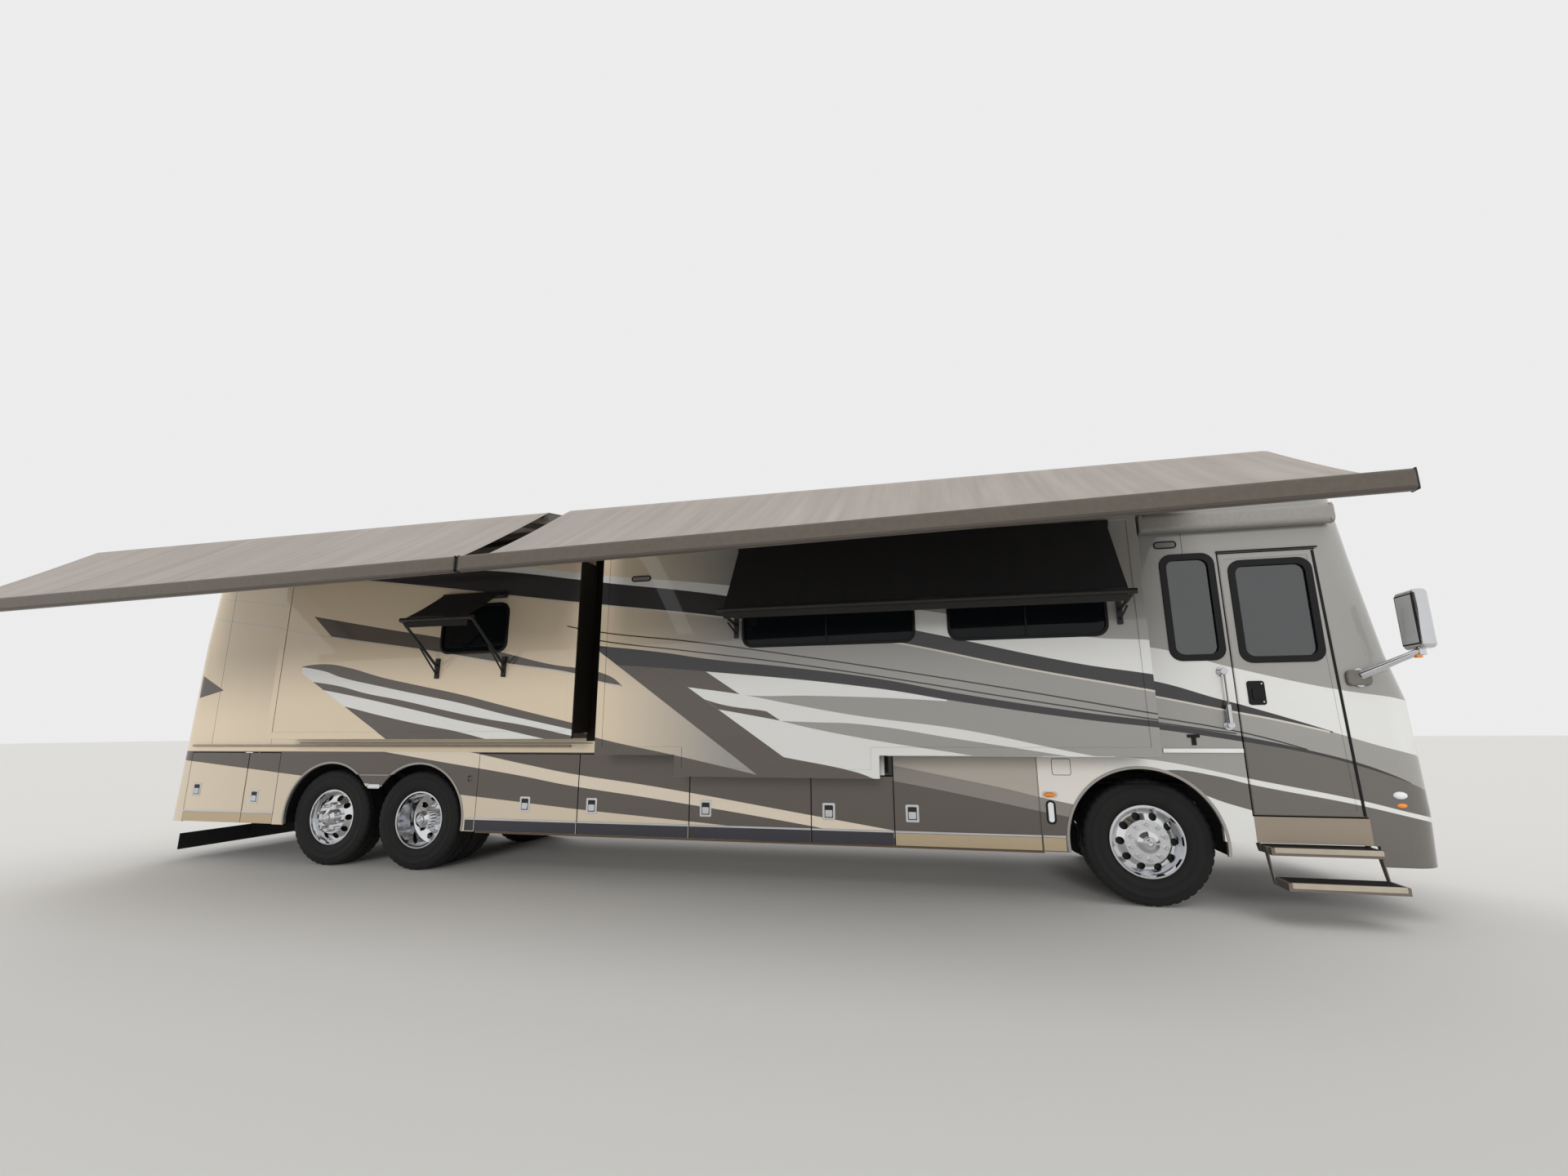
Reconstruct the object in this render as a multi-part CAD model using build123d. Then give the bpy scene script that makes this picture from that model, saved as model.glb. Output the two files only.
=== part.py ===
from build123d import *
import os

# A 43-foot rear-engine motorhome on three axles, parked with its slide-out rooms and awnings out.
# Millimetres.  X runs forward and is 0 at the front axle, Y runs to the driver's side and is 0 on
# the centreline, Z runs up and is 0 at the ground.  The kerb side, with the entry door, is at -Y.
# export_all moves everything so that the origin is the middle of the footprint on the ground.

# Body
half_width = 1295
wall = 40
panel = 30
seam = 12
roof_top = 3600
roof_radius = 130
wall_top = 3400
belt = 1235
skirt_bottom = 430
cap_joint_front = 560
cap_joint_rear = -10300
cap_joint_rear_low = -10570

# Front cap, from the bottom up: height, x of the corner before it is rounded
front_sections = [(400, 2055), (800, 2075), (1680, 2054), (2060, 1963), (2890, 1835), (3600, 1740)]
front_bulge = 130
front_corner_radius = 250

# Rear cap, from the bottom up: height, x of the corner before it is rounded
rear_sections = [(430, -10830), (1315, -10790), (2520, -10750), (3600, -10640)]
rear_bulge = 60
rear_corner_radius = 210

# Axles and wheels
drive_x = -7290
tag_x = -8470
tyre_radius = 520
tyre_width = 310
rim_radius = 298
bead_radius = 286
front_tyre_y = 1055
tag_tyre_y = 1090
drive_tyre_y = 1105
dual_spacing = 340
kingpin_y = 900
stud_circle_radius = 142.9
stud_count = 10
hand_hole_radius = 32
hand_hole_circle = 212

# Wheel arches
front_arch_x = -30
front_arch_radius = 612
rear_arch_radius = 596
arch_centre_z = 522
arch_dip_z = 870

# Baggage doors, rear to front: name, rear seam x, front seam x
bay_doors = [
    ("1", -10570, -9687),
    ("2", -9687, -9223),
    ("3", -6544, -5341),
    ("4", -5341, -4121),
    ("5", -4121, -2899),
    ("6", -2899, -2124),
    ("7", -2124, -856),
]
bay_door_bottom = 436
bay_door_top = 1225
low_door_top = 1038
low_door_names = ("5", "6")
bay_hinge_radius = 4
bay_hinge_gap = 0.3
bay_hinge_leaf = 2
door_post = (25, 60)

# Entry door
door_rear = 795
door_front_low = 1587
door_front_high = 1535
door_bottom = 770
door_top = 2970
door_thickness = 40
hinge_gap = 0.5
entry_hinge_radius = 8
door_window = (870, 1486, 2020, 2895)
window_radius = 90
cab_window = (330, 747, 2050, 2980)
driver_window = (420, 1400, 2050, 2980)
glass = 6

# Windshield, seen from the front
windshield_half_width = 1130
windshield_bottom = 1760
windshield_top = 3190
windshield_radius = 160

# Slide-out rooms
slide_out = 426
slide_face = 25
slide_wall = 35
slide_gap = 10
slide_lap = 65
slide_inside = 1180
slide_top = 3300
slide_guide_inset = 400
slide_guide_width = 60
slide_guide_gap = 0.3
mid_slide = (-4945, 50)
mid_slide_bottom = 1240
mid_step = (-4120, -2200)
mid_step_bottom = 1048
rear_slide = (-8968, -5201)
rear_slide_bottom = 1389
left_slide = (-8968, 50)
left_slide_bottom = 1389
mid_windows = [(-3450, -1856, 2240, 2950), (-1550, -258, 2240, 2950)]
rear_windows = [(-6810, -6020, 2280, 2780)]
left_windows = [(-8300, -7500, 2280, 2950), (-6000, -4400, 2240, 2950), (-2600, -1000, 2240, 2950)]

# Patio awnings: the fabric's rear and front ends, then the lead rail's rear and front ends
patio_awnings = [(-10376, -4965, -10710, -4950), (-4755, 648, -4930, 827)]
awning_case_y = 1235
awning_case_z = 3690
awning_case_radius = 75
ridge_y = 2720
ridge_z = 3370
rail_y = 3775
rail_z = 2672
rail_height = 116
rail_depth = 60
rail_fall = 0.0165  # the lead rails run down towards the rear, so that rain runs off
fabric = 3
ridge_radius = 32
ridge_rod_z = ridge_z - 48
arm_inset = 520
awning_foot_inset = 300
arm_size = 50

# Entry awning case
entry_awning = (160, 1680, 3180, 3350)
entry_awning_depth = 120

# Window awnings: rear and front end, roller z, reach of the bar from the face, bar z, arm pivot z
window_awnings = {
    "mid": (-3530, -140, 3190, 540, 2500, 2440),
    "rear": (-6830, -6000, 2870, 560, 2545, 2130),
}
awning_roller_radius = 38
awning_bar_radius = 24
window_arm = (20, 30)
window_arm_inset = 15
window_arm_foot = (20, 90, 36)
window_cloth_inset = 60

# Floors and baggage bays
floor_z = 1260
floor_thickness = 40
cab_floor_z = 1060
cab_floor_rear = 240
cab_floor_front = 1810
well_z = 730
well_depth = 640
step_depth = 250
bay_floor_z = 440
bay_floor_thickness = 30
bulkhead = 25
seat_y = 620
dash_half_width = 1000
dash_section = [(1660, 1100), (1810, 1100), (1900, 1640), (1780, 1700), (1660, 1600)]
binnacle = (1480, 1660, 320, 1380, 1600)
column_hub = (1330, 1640)
column_foot = (1500, 1500)
column_radius = 30
steering_wheel_radius = 215
steering_grip_radius = 16

# Cab seats: x of the driver's and the passenger's; then each part's extent from x and the floor
seat_x = (820, 525)
seat_pedestal = (-180, 180, 180, 0, 300)
seat_cushion = (-270, 260, 270, 300, 440)
seat_back = (-330, -200, 260, 420, 1100)
seat_round = 40

# Chassis
chassis_rear = -10480
chassis_front = 1600
chassis_y = 430
rail_width = 80
rail_wall = 8
chassis_bottom = 960
chassis_top = 1220
crossmember_x = [-10400, -9000, -7880, -6700, -4700, -3500, -1500, 500, 1500]
front_rail_bottom = 790
front_rail_top = 1050
front_rail_step = -150
hitch_z = 370
hitch_reach = 380
hitch_bore = 51
hitch_half = 35
drop_plate = 80
weld_gap = 0.3
hitch_bar_low = hitch_z + hitch_half + weld_gap
hitch_pin_radius = 8.5
hitch_pin_inset = 60
engine_ends = (-10340, -9080)
engine_half_width = chassis_y - rail_width / 2
engine_heights = (600, 1240)

# Running gear
axle_z = tyre_radius
tyre_shoulder = 42
rim_half_width = 132
rim_lip = 12
disc_flat_radius = 178
hub_cap_radius = 88
kingpin_radius = 22
eye_radius = 46
eye_half_height = 75
knuckle_gap = 5
pin_gap = 0.5
spindle_radius = 40
front_spindle_end = 1165
drive_axle_end = 590
drive_spindle_end = 960
tag_axle_end = 880
tag_spindle_end = 1180

# Lamps: inner y, outer y, bottom, top
head_lamp = (600, 1060, 930, 1150)
tail_lamp = (960, 1090, 980, 1480)
lamp_depth = 25

# Entry steps, upper then lower: inner y, outer y, top height
step_treads = [(1190, 1425, 535), (1400, 1640, 318)]
step_ends = (832, 1612)
step_thickness = 55
step_plate = 8
step_hanger = [(-1200, 480), (-1240, 480), (-1240, 705), (-1060, 705)]
step_link = [(-1400, 265), (-1440, 265), (-1360, 535), (-1300, 535)]
step_recess_top = 555
step_recess_front = 1640

# Rear guard
guard_x = -10610
guard_bottom = 102
guard_top = 284
guard_thickness = 12
guard_half_width = 1250
guard_strap = 50
guard_strap_y = 370

# Roof air conditioners: x of the middle
roof_unit_x = [-8900, -5100, -1500]
roof_unit_size = (1050, 720, 270)
roof_unit_taper = 150
roof_unit_round = 45

# Mirrors: foot on the cap, then the middle of the head
mirror_foot = (1690, 1295, 1865)
mirror_head = (2040, 1510, 2300)
mirror_size = (110, 250, 470)
mirror_foot_height = 30
mirror_arm_radius = 17
mirror_round = 35

# Rear engine door
engine_door_half_width = 700
engine_door_bottom = 640
engine_door_top = 1500
engine_hinge_y = 230
engine_hinge_radius = 9
engine_hinge_length = 90
engine_hinge_eye = 26
engine_pin_radius = 4
engine_hinge_proud = 4
louvre_half_width = 450
louvre_pitch = 70
louvre_height = 22

# Grille slots, below the windshield and over the radiator: lowest, limit, pitch, height
nose_slot_half_width = 430
nose_slots = (520, 880, 60, 26)
grille_slots = (560, 1120, 60, 26)
grille_margin = 150


def block(x0, x1, y0, y1, z0, z1):
    """A box between two corners."""
    centre = Pos((x0 + x1) / 2, (y0 + y1) / 2, (z0 + z1) / 2)
    return centre * Box(abs(x1 - x0), abs(y1 - y0), abs(z1 - z0))


def rect(x0, x1, z0, z1, radius=0):
    """A side-view rectangle, its corners rounded where a radius is given."""
    shape = RectangleRounded(x1 - x0, z1 - z0, radius) if radius else Rectangle(x1 - x0, z1 - z0)
    return Pos((x0 + x1) / 2, (z0 + z1) / 2) * shape


def side_prism(sketch, y0, y1):
    """A side-view sketch, x forward and y up, made solid between two distances from the middle."""
    low, high = min(y0, y1), max(y0, y1)
    plane = Plane(origin=(0, high, 0), x_dir=(1, 0, 0), z_dir=(0, -1, 0))
    return extrude(plane * sketch, amount=high - low)


def rod(start, end, radius):
    """A round bar between two points."""
    line = Vector(*end) - Vector(*start)
    plane = Plane(origin=start, z_dir=line)
    return extrude(plane * Circle(radius), amount=line.length)


def bar(start, end, width, height):
    """A square bar between two points that share one x."""
    line = Vector(*end) - Vector(*start)
    plane = Plane(origin=start, x_dir=(1, 0, 0), z_dir=line)
    return extrude(plane * Rectangle(width, height), amount=line.length)


def outline(x_joint, x_corner, bulge, radius, half):
    """A cap's plan: straight sides from the joint, rounded corners and a bulged end."""
    sides = Polyline((x_corner, -half), (x_joint, -half), (x_joint, half), (x_corner, half))
    sign = 1 if x_corner > x_joint else -1
    end = ThreePointArc((x_corner, half), (x_corner + sign * bulge, 0), (x_corner, -half))
    face = make_face(sides + end)
    corners = [v for v in face.vertices() if abs(v.X - x_corner) < 1]
    return fillet(corners, radius)


def cap_body(sections, x_joint, bulge, radius, inset):
    """The solid form of a cap, drawn in by inset on its outside, for a hollow shell."""
    sign = 1 if sections[0][1] > x_joint else -1
    half = half_width - inset
    joint = x_joint - sign * inset * 2
    faces = []
    last = len(sections) - 1
    for index, (z, x_corner) in enumerate(sections):
        level = z - inset if index == last else z
        level = level - inset * 2 if index == 0 else level
        plan = outline(joint, x_corner - sign * inset, bulge, radius - inset, half)
        faces.append(Pos(0, 0, level) * plan)
    body = loft(faces, ruled=True)
    top = body.edges().filter_by(lambda e: e.center().Z > sections[-1][0] - inset - 1)
    rounded = [e for e in top if abs(e.center().X - joint) > 1]
    return fillet(rounded, roof_radius - inset)


front_outer = cap_body(front_sections, cap_joint_front, front_bulge, front_corner_radius, 0)
front_inner = cap_body(front_sections, cap_joint_front, front_bulge, front_corner_radius, wall)
rear_outer = cap_body(rear_sections, cap_joint_rear, rear_bulge, rear_corner_radius, 0)
rear_inner = cap_body(rear_sections, cap_joint_rear, rear_bulge, rear_corner_radius, wall)


def entry_door_shape(grow, grow_hinge):
    """The entry door's side view, with its leaning front edge, grown for the opening round it."""
    return Polygon(
        (door_rear - grow, door_bottom - grow),
        (door_front_low + grow_hinge, door_bottom - grow),
        (door_front_high + grow_hinge, door_top + grow),
        (door_rear - grow, door_top + grow),
        align=None,
    )


def windshield_prism():
    """The windshield's opening, seen from the front, run along x through the cap's nose."""
    width = 2 * windshield_half_width
    height = windshield_top - windshield_bottom
    plane = Plane(origin=(1500, 0, 0), x_dir=(0, 1, 0), z_dir=(1, 0, 0))
    middle = (windshield_top + windshield_bottom) / 2
    opening = Pos(0, middle) * RectangleRounded(width, height, windshield_radius)
    return extrude(plane * opening, amount=900)


def front_cap():
    shell = front_outer - front_inner
    shell -= windshield_prism()
    doorway = entry_door_shape(seam, entry_hinge_radius + hinge_gap)
    shell -= side_prism(doorway, -half_width - 5, -half_width + wall + 60)
    shell -= side_prism(rect(*cab_window, window_radius), -half_width - 5, -1200)
    shell -= side_prism(rect(*driver_window, window_radius), 1200, half_width + 5)
    shell -= block(cap_joint_front - 1, step_recess_front, -half_width - 1, -1200, 300, step_recess_top)
    for prism in head_lamp_prisms():
        shell -= prism & (front_outer - Pos(-lamp_depth, 0, 0) * front_outer)
    slot_bottom, slot_top, pitch, height = nose_slots
    for level in range(slot_bottom, slot_top, pitch):
        shell -= block(1800, 2400, -nose_slot_half_width, nose_slot_half_width, level, level + height)
    return shell


def pane(window, y_outside):
    """A window pane that fills its opening in a side wall, halfway through the wall."""
    inward = -1 if y_outside > 0 else 1
    y = y_outside + inward * wall / 3
    return side_prism(rect(*window, window_radius), y, y + inward * glass)


def coach_glass():
    skin = front_outer - Pos(-glass, 0, 0) * front_outer
    windshield = skin & windshield_prism() & block(1500, 2400, -1280, 1280, 1500, 3400)
    return [windshield, pane(cab_window, -half_width), pane(driver_window, half_width)]


def rear_cap():
    shell = rear_outer - rear_inner
    shell -= block(cap_joint_rear_low, cap_joint_rear + 300, -1400, 1400, 0, belt)
    shell -= engine_door_prism(seam)
    for prism in tail_lamp_prisms():
        shell -= prism & (rear_outer - Pos(lamp_depth, 0, 0) * rear_outer)
    pin_half = engine_hinge_length / 2 + engine_hinge_eye
    for y in (-engine_hinge_y, engine_hinge_y):
        for eye_y in engine_eye_ends(y):
            shell += engine_hinge_ear(eye_y - engine_hinge_eye + hinge_gap, eye_y - hinge_gap)
        shell -= engine_hinge_rod(y, pin_half + 1, engine_pin_radius + hinge_gap)
    return shell


def engine_eye_ends(y):
    """The left ends of the two eyes at either side of a hinge that is centred on y."""
    return y - engine_hinge_length / 2, y + engine_hinge_length / 2 + engine_hinge_eye


def rear_surface_x(z):
    """The rear cap's x on the centreline at a height within its lower sections."""
    (z0, x0), (z1, x1) = rear_sections[1:3]
    return x0 + (x1 - x0) * (z - z0) / (z1 - z0) - rear_bulge


engine_hinge_x = rear_surface_x(engine_door_top) - engine_hinge_proud


def engine_hinge_rod(y, half_length, radius):
    start = (engine_hinge_x, y - half_length, engine_door_top)
    return rod(start, (engine_hinge_x, y + half_length, engine_door_top), radius)


def engine_hinge_ear(y0, y1):
    """A hinge eye on the cap, above the engine door's seam."""
    x, z = engine_hinge_x, engine_door_top
    eye = rod((x, y0, z), (x, y1, z), engine_hinge_radius)
    foot = block(x - engine_hinge_radius, x + engine_hinge_proud + 20, y0, y1, z + 2, z + seam + 30)
    return eye + foot


def engine_door_prism(grow):
    half = engine_door_half_width + grow
    return block(-11200, -10600, -half, half, engine_door_bottom - grow, engine_door_top + grow)


def rear_engine_door():
    """The louvred lid over the engine, hinged along its top edge."""
    lid = (rear_outer - Pos(panel, 0, 0) * rear_outer) & engine_door_prism(0)
    for level in range(engine_door_bottom + 120, engine_door_top - 300, louvre_pitch):
        lid -= block(-11000, -10700, -louvre_half_width, louvre_half_width, level, level + louvre_height)
    room = engine_hinge_radius + 3
    for y in (-engine_hinge_y, engine_hinge_y):
        for eye_y in engine_eye_ends(y):
            lid -= block(
                engine_hinge_x - 50, engine_hinge_x + room, eye_y - engine_hinge_eye - 2, eye_y + 2,
                engine_door_top - room, engine_door_top + 1,
            )
        lid += engine_hinge_rod(y, engine_hinge_length / 2, engine_hinge_radius)
        lid += engine_hinge_rod(y, engine_hinge_length / 2 + engine_hinge_eye, engine_pin_radius)
    return lid


def roof():
    """The roof between the caps: a flat top with rounded edges, open below."""
    top = block(cap_joint_rear, cap_joint_front, -half_width, half_width, wall_top, roof_top)
    top = fillet(top.edges().filter_by(Axis.X).group_by(Axis.Z)[-1], roof_radius)
    under = block(
        cap_joint_rear, cap_joint_front, wall - half_width, half_width - wall, wall_top - 1, roof_top - wall
    )
    under = fillet(under.edges().filter_by(Axis.X).group_by(Axis.Z)[-1], roof_radius - wall)
    return top - under


def slide_section(ends, bottom):
    """A slide-out room's side view, without its lap over the wall."""
    return rect(ends[0] + slide_lap, ends[1] - slide_lap, bottom + slide_lap, slide_top - slide_lap)


def step_section():
    """The side view of the lower part under the middle room, without its lap."""
    top = mid_slide_bottom + slide_lap
    return rect(mid_step[0] + slide_lap, mid_step[1] - slide_lap, mid_step_bottom + slide_lap, top)


def side_wall(side, openings, window):
    """A flat wall between the caps, from the belt line to the roof, with slide-out openings."""
    shape = rect(cap_joint_rear, cap_joint_front, belt, wall_top)
    if side < 0:
        shape += rect(mid_step[0], bay_doors[-1][1] - seam / 2, low_door_top + seam, belt + 1)
    for opening in openings:
        shape -= offset(opening, slide_gap, kind=Kind.INTERSECTION)
    shape -= rect(*window, window_radius)
    return side_prism(shape, side * half_width, side * (half_width - wall))


def lower_panels():
    """The fixed painted panels round the wheels, and the grille over the radiator."""
    front_arch = Pos(front_arch_x, arch_centre_z) * Circle(front_arch_radius)
    rear_arch = Pos(drive_x, arch_centre_z) * Circle(rear_arch_radius)
    rear_arch += Pos(tag_x, arch_centre_z) * Circle(rear_arch_radius)
    rear_arch += rect(tag_x, drive_x, 300, arch_dip_z)
    door_ends = {name: (rear, front) for name, rear, front in bay_doors}
    panels = []
    for side in (-1, 1):
        front = rect(door_ends["7"][1], cap_joint_front, skirt_bottom, belt) - front_arch
        rear = rect(door_ends["2"][1], door_ends["3"][0], skirt_bottom, belt) - rear_arch
        for shape in (front, rear):
            panels.append(side_prism(shape, side * half_width, side * (half_width - panel)))
    grille = rect(cap_joint_rear_low, door_ends["2"][1], skirt_bottom, belt)
    slot_rear, slot_front = cap_joint_rear_low + grille_margin, door_ends["2"][1] - grille_margin
    slot_low, slot_high, pitch, height = grille_slots
    for level in range(slot_low, slot_high, pitch):
        grille -= rect(slot_rear, slot_front, level, level + height)
    panels.append(side_prism(grille, half_width, half_width - panel))
    post_width, post_depth = door_post
    post_x = door_ends["1"][1]
    outside = half_width - wall
    half = post_width / 2
    post = block(post_x - half, post_x + half, -outside, post_depth - outside, skirt_bottom, floor_z)
    panels.append(post + bay_hinge_strip(-1, post_x, belt - 10))
    return panels


def bay_hinge_strip(side, seam_x, top):
    """The fixed leaf of a baggage door's full-height hinge, from inside the body out to the seam."""
    x0 = seam_x - seam / 2 + bay_hinge_radius + bay_hinge_gap
    inner, outer = side * (half_width - wall - 1), side * half_width
    return block(x0, x0 + bay_hinge_leaf, inner, outer, bay_floor_z, top)


def bay_door(name, rear, front, side):
    """A baggage door, flush with the body and hinged along its front edge."""
    top = bay_door_height(name, side)
    shape = rect(rear + seam / 2, front - seam / 2, bay_door_bottom, top)
    leaf = side_prism(shape, side * half_width, side * (half_width - panel))
    axis = (front - seam / 2, side * half_width)
    return leaf + rod((*axis, bay_door_bottom), (*axis, top), bay_hinge_radius)


def bay_door_height(name, side):
    return low_door_top if side < 0 and name in low_door_names else bay_door_top


def entry_door():
    """The entry door, with the round hinge bar down its front edge."""
    leaf = side_prism(entry_door_shape(0, 0), -half_width, door_thickness - half_width)
    leaf -= side_prism(rect(*door_window, window_radius), -half_width - 5, -1200)
    low, high = (door_front_low, -half_width, door_bottom), (door_front_high, -half_width, door_top)
    return leaf + rod(low, high, entry_hinge_radius)


def slide_room(side, ends, bottom, windows):
    """A slide-out room: its face with a lap all round, and the box that runs in the opening."""
    face_y = side * (half_width + slide_out)
    back_y = side * (half_width + slide_out - slide_face)
    face = side_prism(rect(ends[0], ends[1], bottom, slide_top), face_y, back_y)
    section = slide_section(ends, bottom)
    inner = offset(section, -slide_wall, kind=Kind.INTERSECTION)
    box = side_prism(section, back_y, side * slide_inside)
    room = face + box - side_prism(inner, back_y, side * (slide_inside - 50))
    for window in windows:
        room -= side_prism(rect(*window, window_radius), face_y + side * 5, back_y - side * 5)
    return room


def slide_skirt():
    """The lower part of the middle room: a strip of its face, and the trough behind it."""
    face_y = -half_width - slide_out
    back_y = face_y + slide_face
    face = side_prism(rect(mid_step[0], mid_step[1], mid_step_bottom, mid_slide_bottom), face_y, back_y)
    rear, front = mid_step[0] + slide_lap, mid_step[1] - slide_lap
    low, high = mid_step_bottom + slide_lap, mid_slide_bottom + slide_lap
    trough = side_prism(step_section(), back_y, -slide_inside)
    room = rect(rear + slide_wall, front - slide_wall, low + slide_wall, high + 1)
    return face + trough - side_prism(room, back_y, 50 - slide_inside)


def slide_glass(side, windows):
    y = side * (half_width + slide_out - slide_face / 2)
    return [side_prism(rect(*w, window_radius), y, y - side * glass) for w in windows]


def window_awning(ends_x0, ends_x1, roller_z, reach, bar_z, pivot_z):
    """A window awning on a slide-out room: roller, two arms, front bar and the fabric between."""
    face = -(half_width + slide_out)
    roller_y = face - awning_roller_radius
    bar_y = face - reach
    roller_x0, roller_x1 = ends_x0 + 40, ends_x1 - 40
    roller = rod((roller_x0, roller_y, roller_z), (roller_x1, roller_y, roller_z), awning_roller_radius)
    front = rod((ends_x0, bar_y, bar_z), (ends_x1, bar_y, bar_z), awning_bar_radius)
    pieces = roller + front
    arm_width, arm_height = window_arm
    foot_half_width, foot_half_height, foot_depth = window_arm_foot
    for x in (ends_x0 + window_arm_inset, ends_x1 - window_arm_inset):
        pieces += bar((x, face - foot_depth / 2, pivot_z), (x, bar_y, bar_z), arm_width, arm_height)
        pieces += block(
            x - foot_half_width, x + foot_half_width, face - foot_depth, face,
            pivot_z - foot_half_height, pivot_z + foot_half_height,
        )
    cloth_y = roller_y - awning_roller_radius + fabric
    sheet = Polygon(
        (cloth_y, roller_z), (cloth_y - fabric, roller_z), (bar_y - fabric, bar_z), (bar_y, bar_z), align=None
    )
    cloth_x = ends_x0 + window_cloth_inset
    cloth = extrude(Plane.YZ * sheet, amount=ends_x1 - ends_x0 - 2 * window_cloth_inset)
    return pieces + Pos(cloth_x, 0, 0) * cloth


def rail_bottom(x):
    """The height of the lead rails' lower edge at x."""
    front_end = patio_awnings[-1][-1]
    return rail_z - rail_fall * (front_end - x)


def awning_section(x):
    """The patio fabric's profile at x, from the roof case over the ridge roller to the lead rail."""
    case_face = -awning_case_y - awning_case_radius
    upper = [(case_face, awning_case_z), (-ridge_y, ridge_z), (-rail_y, rail_bottom(x) + rail_height)]
    lower = [(y, z - fabric) for y, z in reversed(upper)]
    return Plane.YZ.offset(x) * Polygon(*upper, *lower, align=None)


def awning_fabrics():
    return [loft([awning_section(x0), awning_section(x1)], ruled=True) for x0, x1, _, _ in patio_awnings]


def lead_rail(x0, x1):
    """A patio awning's lead rail, from its rear end to its front end."""
    middle = (-rail_y - rail_depth / 2, rail_bottom(x0) + rail_height / 2)
    section = Plane.YZ.offset(x0) * Pos(*middle) * RectangleRounded(rail_depth, rail_height, 18)
    run = Vector(x1 - x0, 0, rail_bottom(x1) - rail_bottom(x0))
    return extrude(section, amount=run.length, dir=run)


def awning_hardware():
    """Roof cases, ridge rollers, lead rails and arms of the patio awnings, and the entry awning."""
    case_size = 2 * awning_case_radius
    case_section = Pos(-awning_case_y, awning_case_z) * RectangleRounded(case_size, case_size, 30)
    foot_y = awning_case_radius - awning_case_y
    pieces = []
    for x0, x1, rail_x0, rail_x1 in patio_awnings:
        case = Pos(x0, 0, 0) * extrude(Plane.YZ * case_section, amount=x1 - x0)
        for x in (x0 + awning_foot_inset, (x0 + x1) / 2, x1 - awning_foot_inset):
            case += block(x - 40, x + 40, foot_y - 20, foot_y + 80, roof_top + 12, roof_top + 45)
            case += block(x - 40, x + 40, foot_y + 15, foot_y + 80, roof_top, roof_top + 13)
        ridge = rod((x0 + 20, -ridge_y, ridge_rod_z), (x1 - 20, -ridge_y, ridge_rod_z), ridge_radius)
        frame = case + ridge + lead_rail(rail_x0, rail_x1)
        for x in (x0 + arm_inset, x1 - arm_inset):
            shoulder = (x, -awning_case_y - 20, awning_case_z - 30)
            elbow = (x, -ridge_y, ridge_rod_z)
            hand = (x, -rail_y - 10, rail_bottom(x) + rail_height / 2)
            frame += bar(shoulder, elbow, arm_size, arm_size) + bar(elbow, hand, arm_size, arm_size)
        pieces.append(frame)
    x0, x1, z0, z1 = entry_awning
    shape = Pos(-half_width - entry_awning_depth / 2, (z0 + z1) / 2) * RectangleRounded(
        entry_awning_depth, z1 - z0, 45
    )
    entry_case = Pos(x0, 0, 0) * extrude(Plane.YZ * shape, amount=x1 - x0)
    return pieces + [entry_case]


def step_pan(grow):
    """The recess in the cabin floor that the middle room's lower part runs in, as a solid."""
    low = mid_step_bottom + slide_lap - slide_gap - grow
    rear, front = mid_step[0] + slide_lap - slide_gap, mid_step[1] - slide_lap + slide_gap
    inner = slide_out + slide_gap + grow - slide_inside
    high = floor_z + floor_thickness + 1
    return block(rear - grow, front + grow, -half_width - 1, inner, low, high)


def floors():
    """The cabin floor with its slide guides and the recess for the middle room, and the bay floor."""
    inside = half_width - wall
    top = floor_z + floor_thickness
    cabin = block(cap_joint_rear, cab_floor_rear, -inside, inside, floor_z, top)
    space = block(cap_joint_rear, cab_floor_rear, -inside, inside, bay_floor_z, top)
    cabin = cabin + (step_pan(bulkhead) & space) - step_pan(0)
    guide_top = rear_slide_bottom + slide_lap - slide_guide_gap
    for side, ends in ((-1, rear_slide), (1, left_slide)):
        for x in (ends[0] + slide_guide_inset, (ends[0] + ends[1]) / 2, ends[1] - slide_guide_inset):
            y0, y1 = side * inside, side * (slide_inside - slide_guide_width)
            half = slide_guide_width / 2
            cabin += block(x - half, x + half, min(y0, y1), max(y0, y1), floor_z + 1, guide_top)
    bay_rear, bay_front = bay_doors[2][1], bay_doors[-1][2]
    low = bay_floor_z - bay_floor_thickness
    bays = block(bay_rear - bulkhead / 2, bay_front + bulkhead / 2, -inside, inside, low, bay_floor_z)
    return [cabin, bays]


def cab_floor():
    """The lower floor of the cab with its riser, the step well inside the entry door and its tread."""
    inside = half_width - wall
    top = cab_floor_z + floor_thickness
    slab = block(cab_floor_rear, cab_floor_front, -inside, inside, cab_floor_z, top)
    riser_top = floor_z + floor_thickness
    riser = block(cab_floor_rear, cab_floor_rear + bulkhead, -inside, inside, cab_floor_z, riser_top)
    rear, front = door_rear - 20, door_front_low + 40
    side = well_depth - half_width
    edge = bulkhead + weld_gap
    hole = block(rear - edge, front + edge, -inside - 1, side + edge, well_z, top + 1)
    room = block(rear, front, -inside - 1, side, well_z, top + 1)
    well = block(rear - bulkhead, front + bulkhead, -inside, side + bulkhead, well_z - bulkhead, top) - room
    gap = weld_gap
    tread_top = (well_z + top) / 2
    tread = block(rear + gap, front - gap, side - step_depth, side - gap, well_z + gap, tread_top)
    return [(slab + riser) - hole, well, tread]


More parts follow.
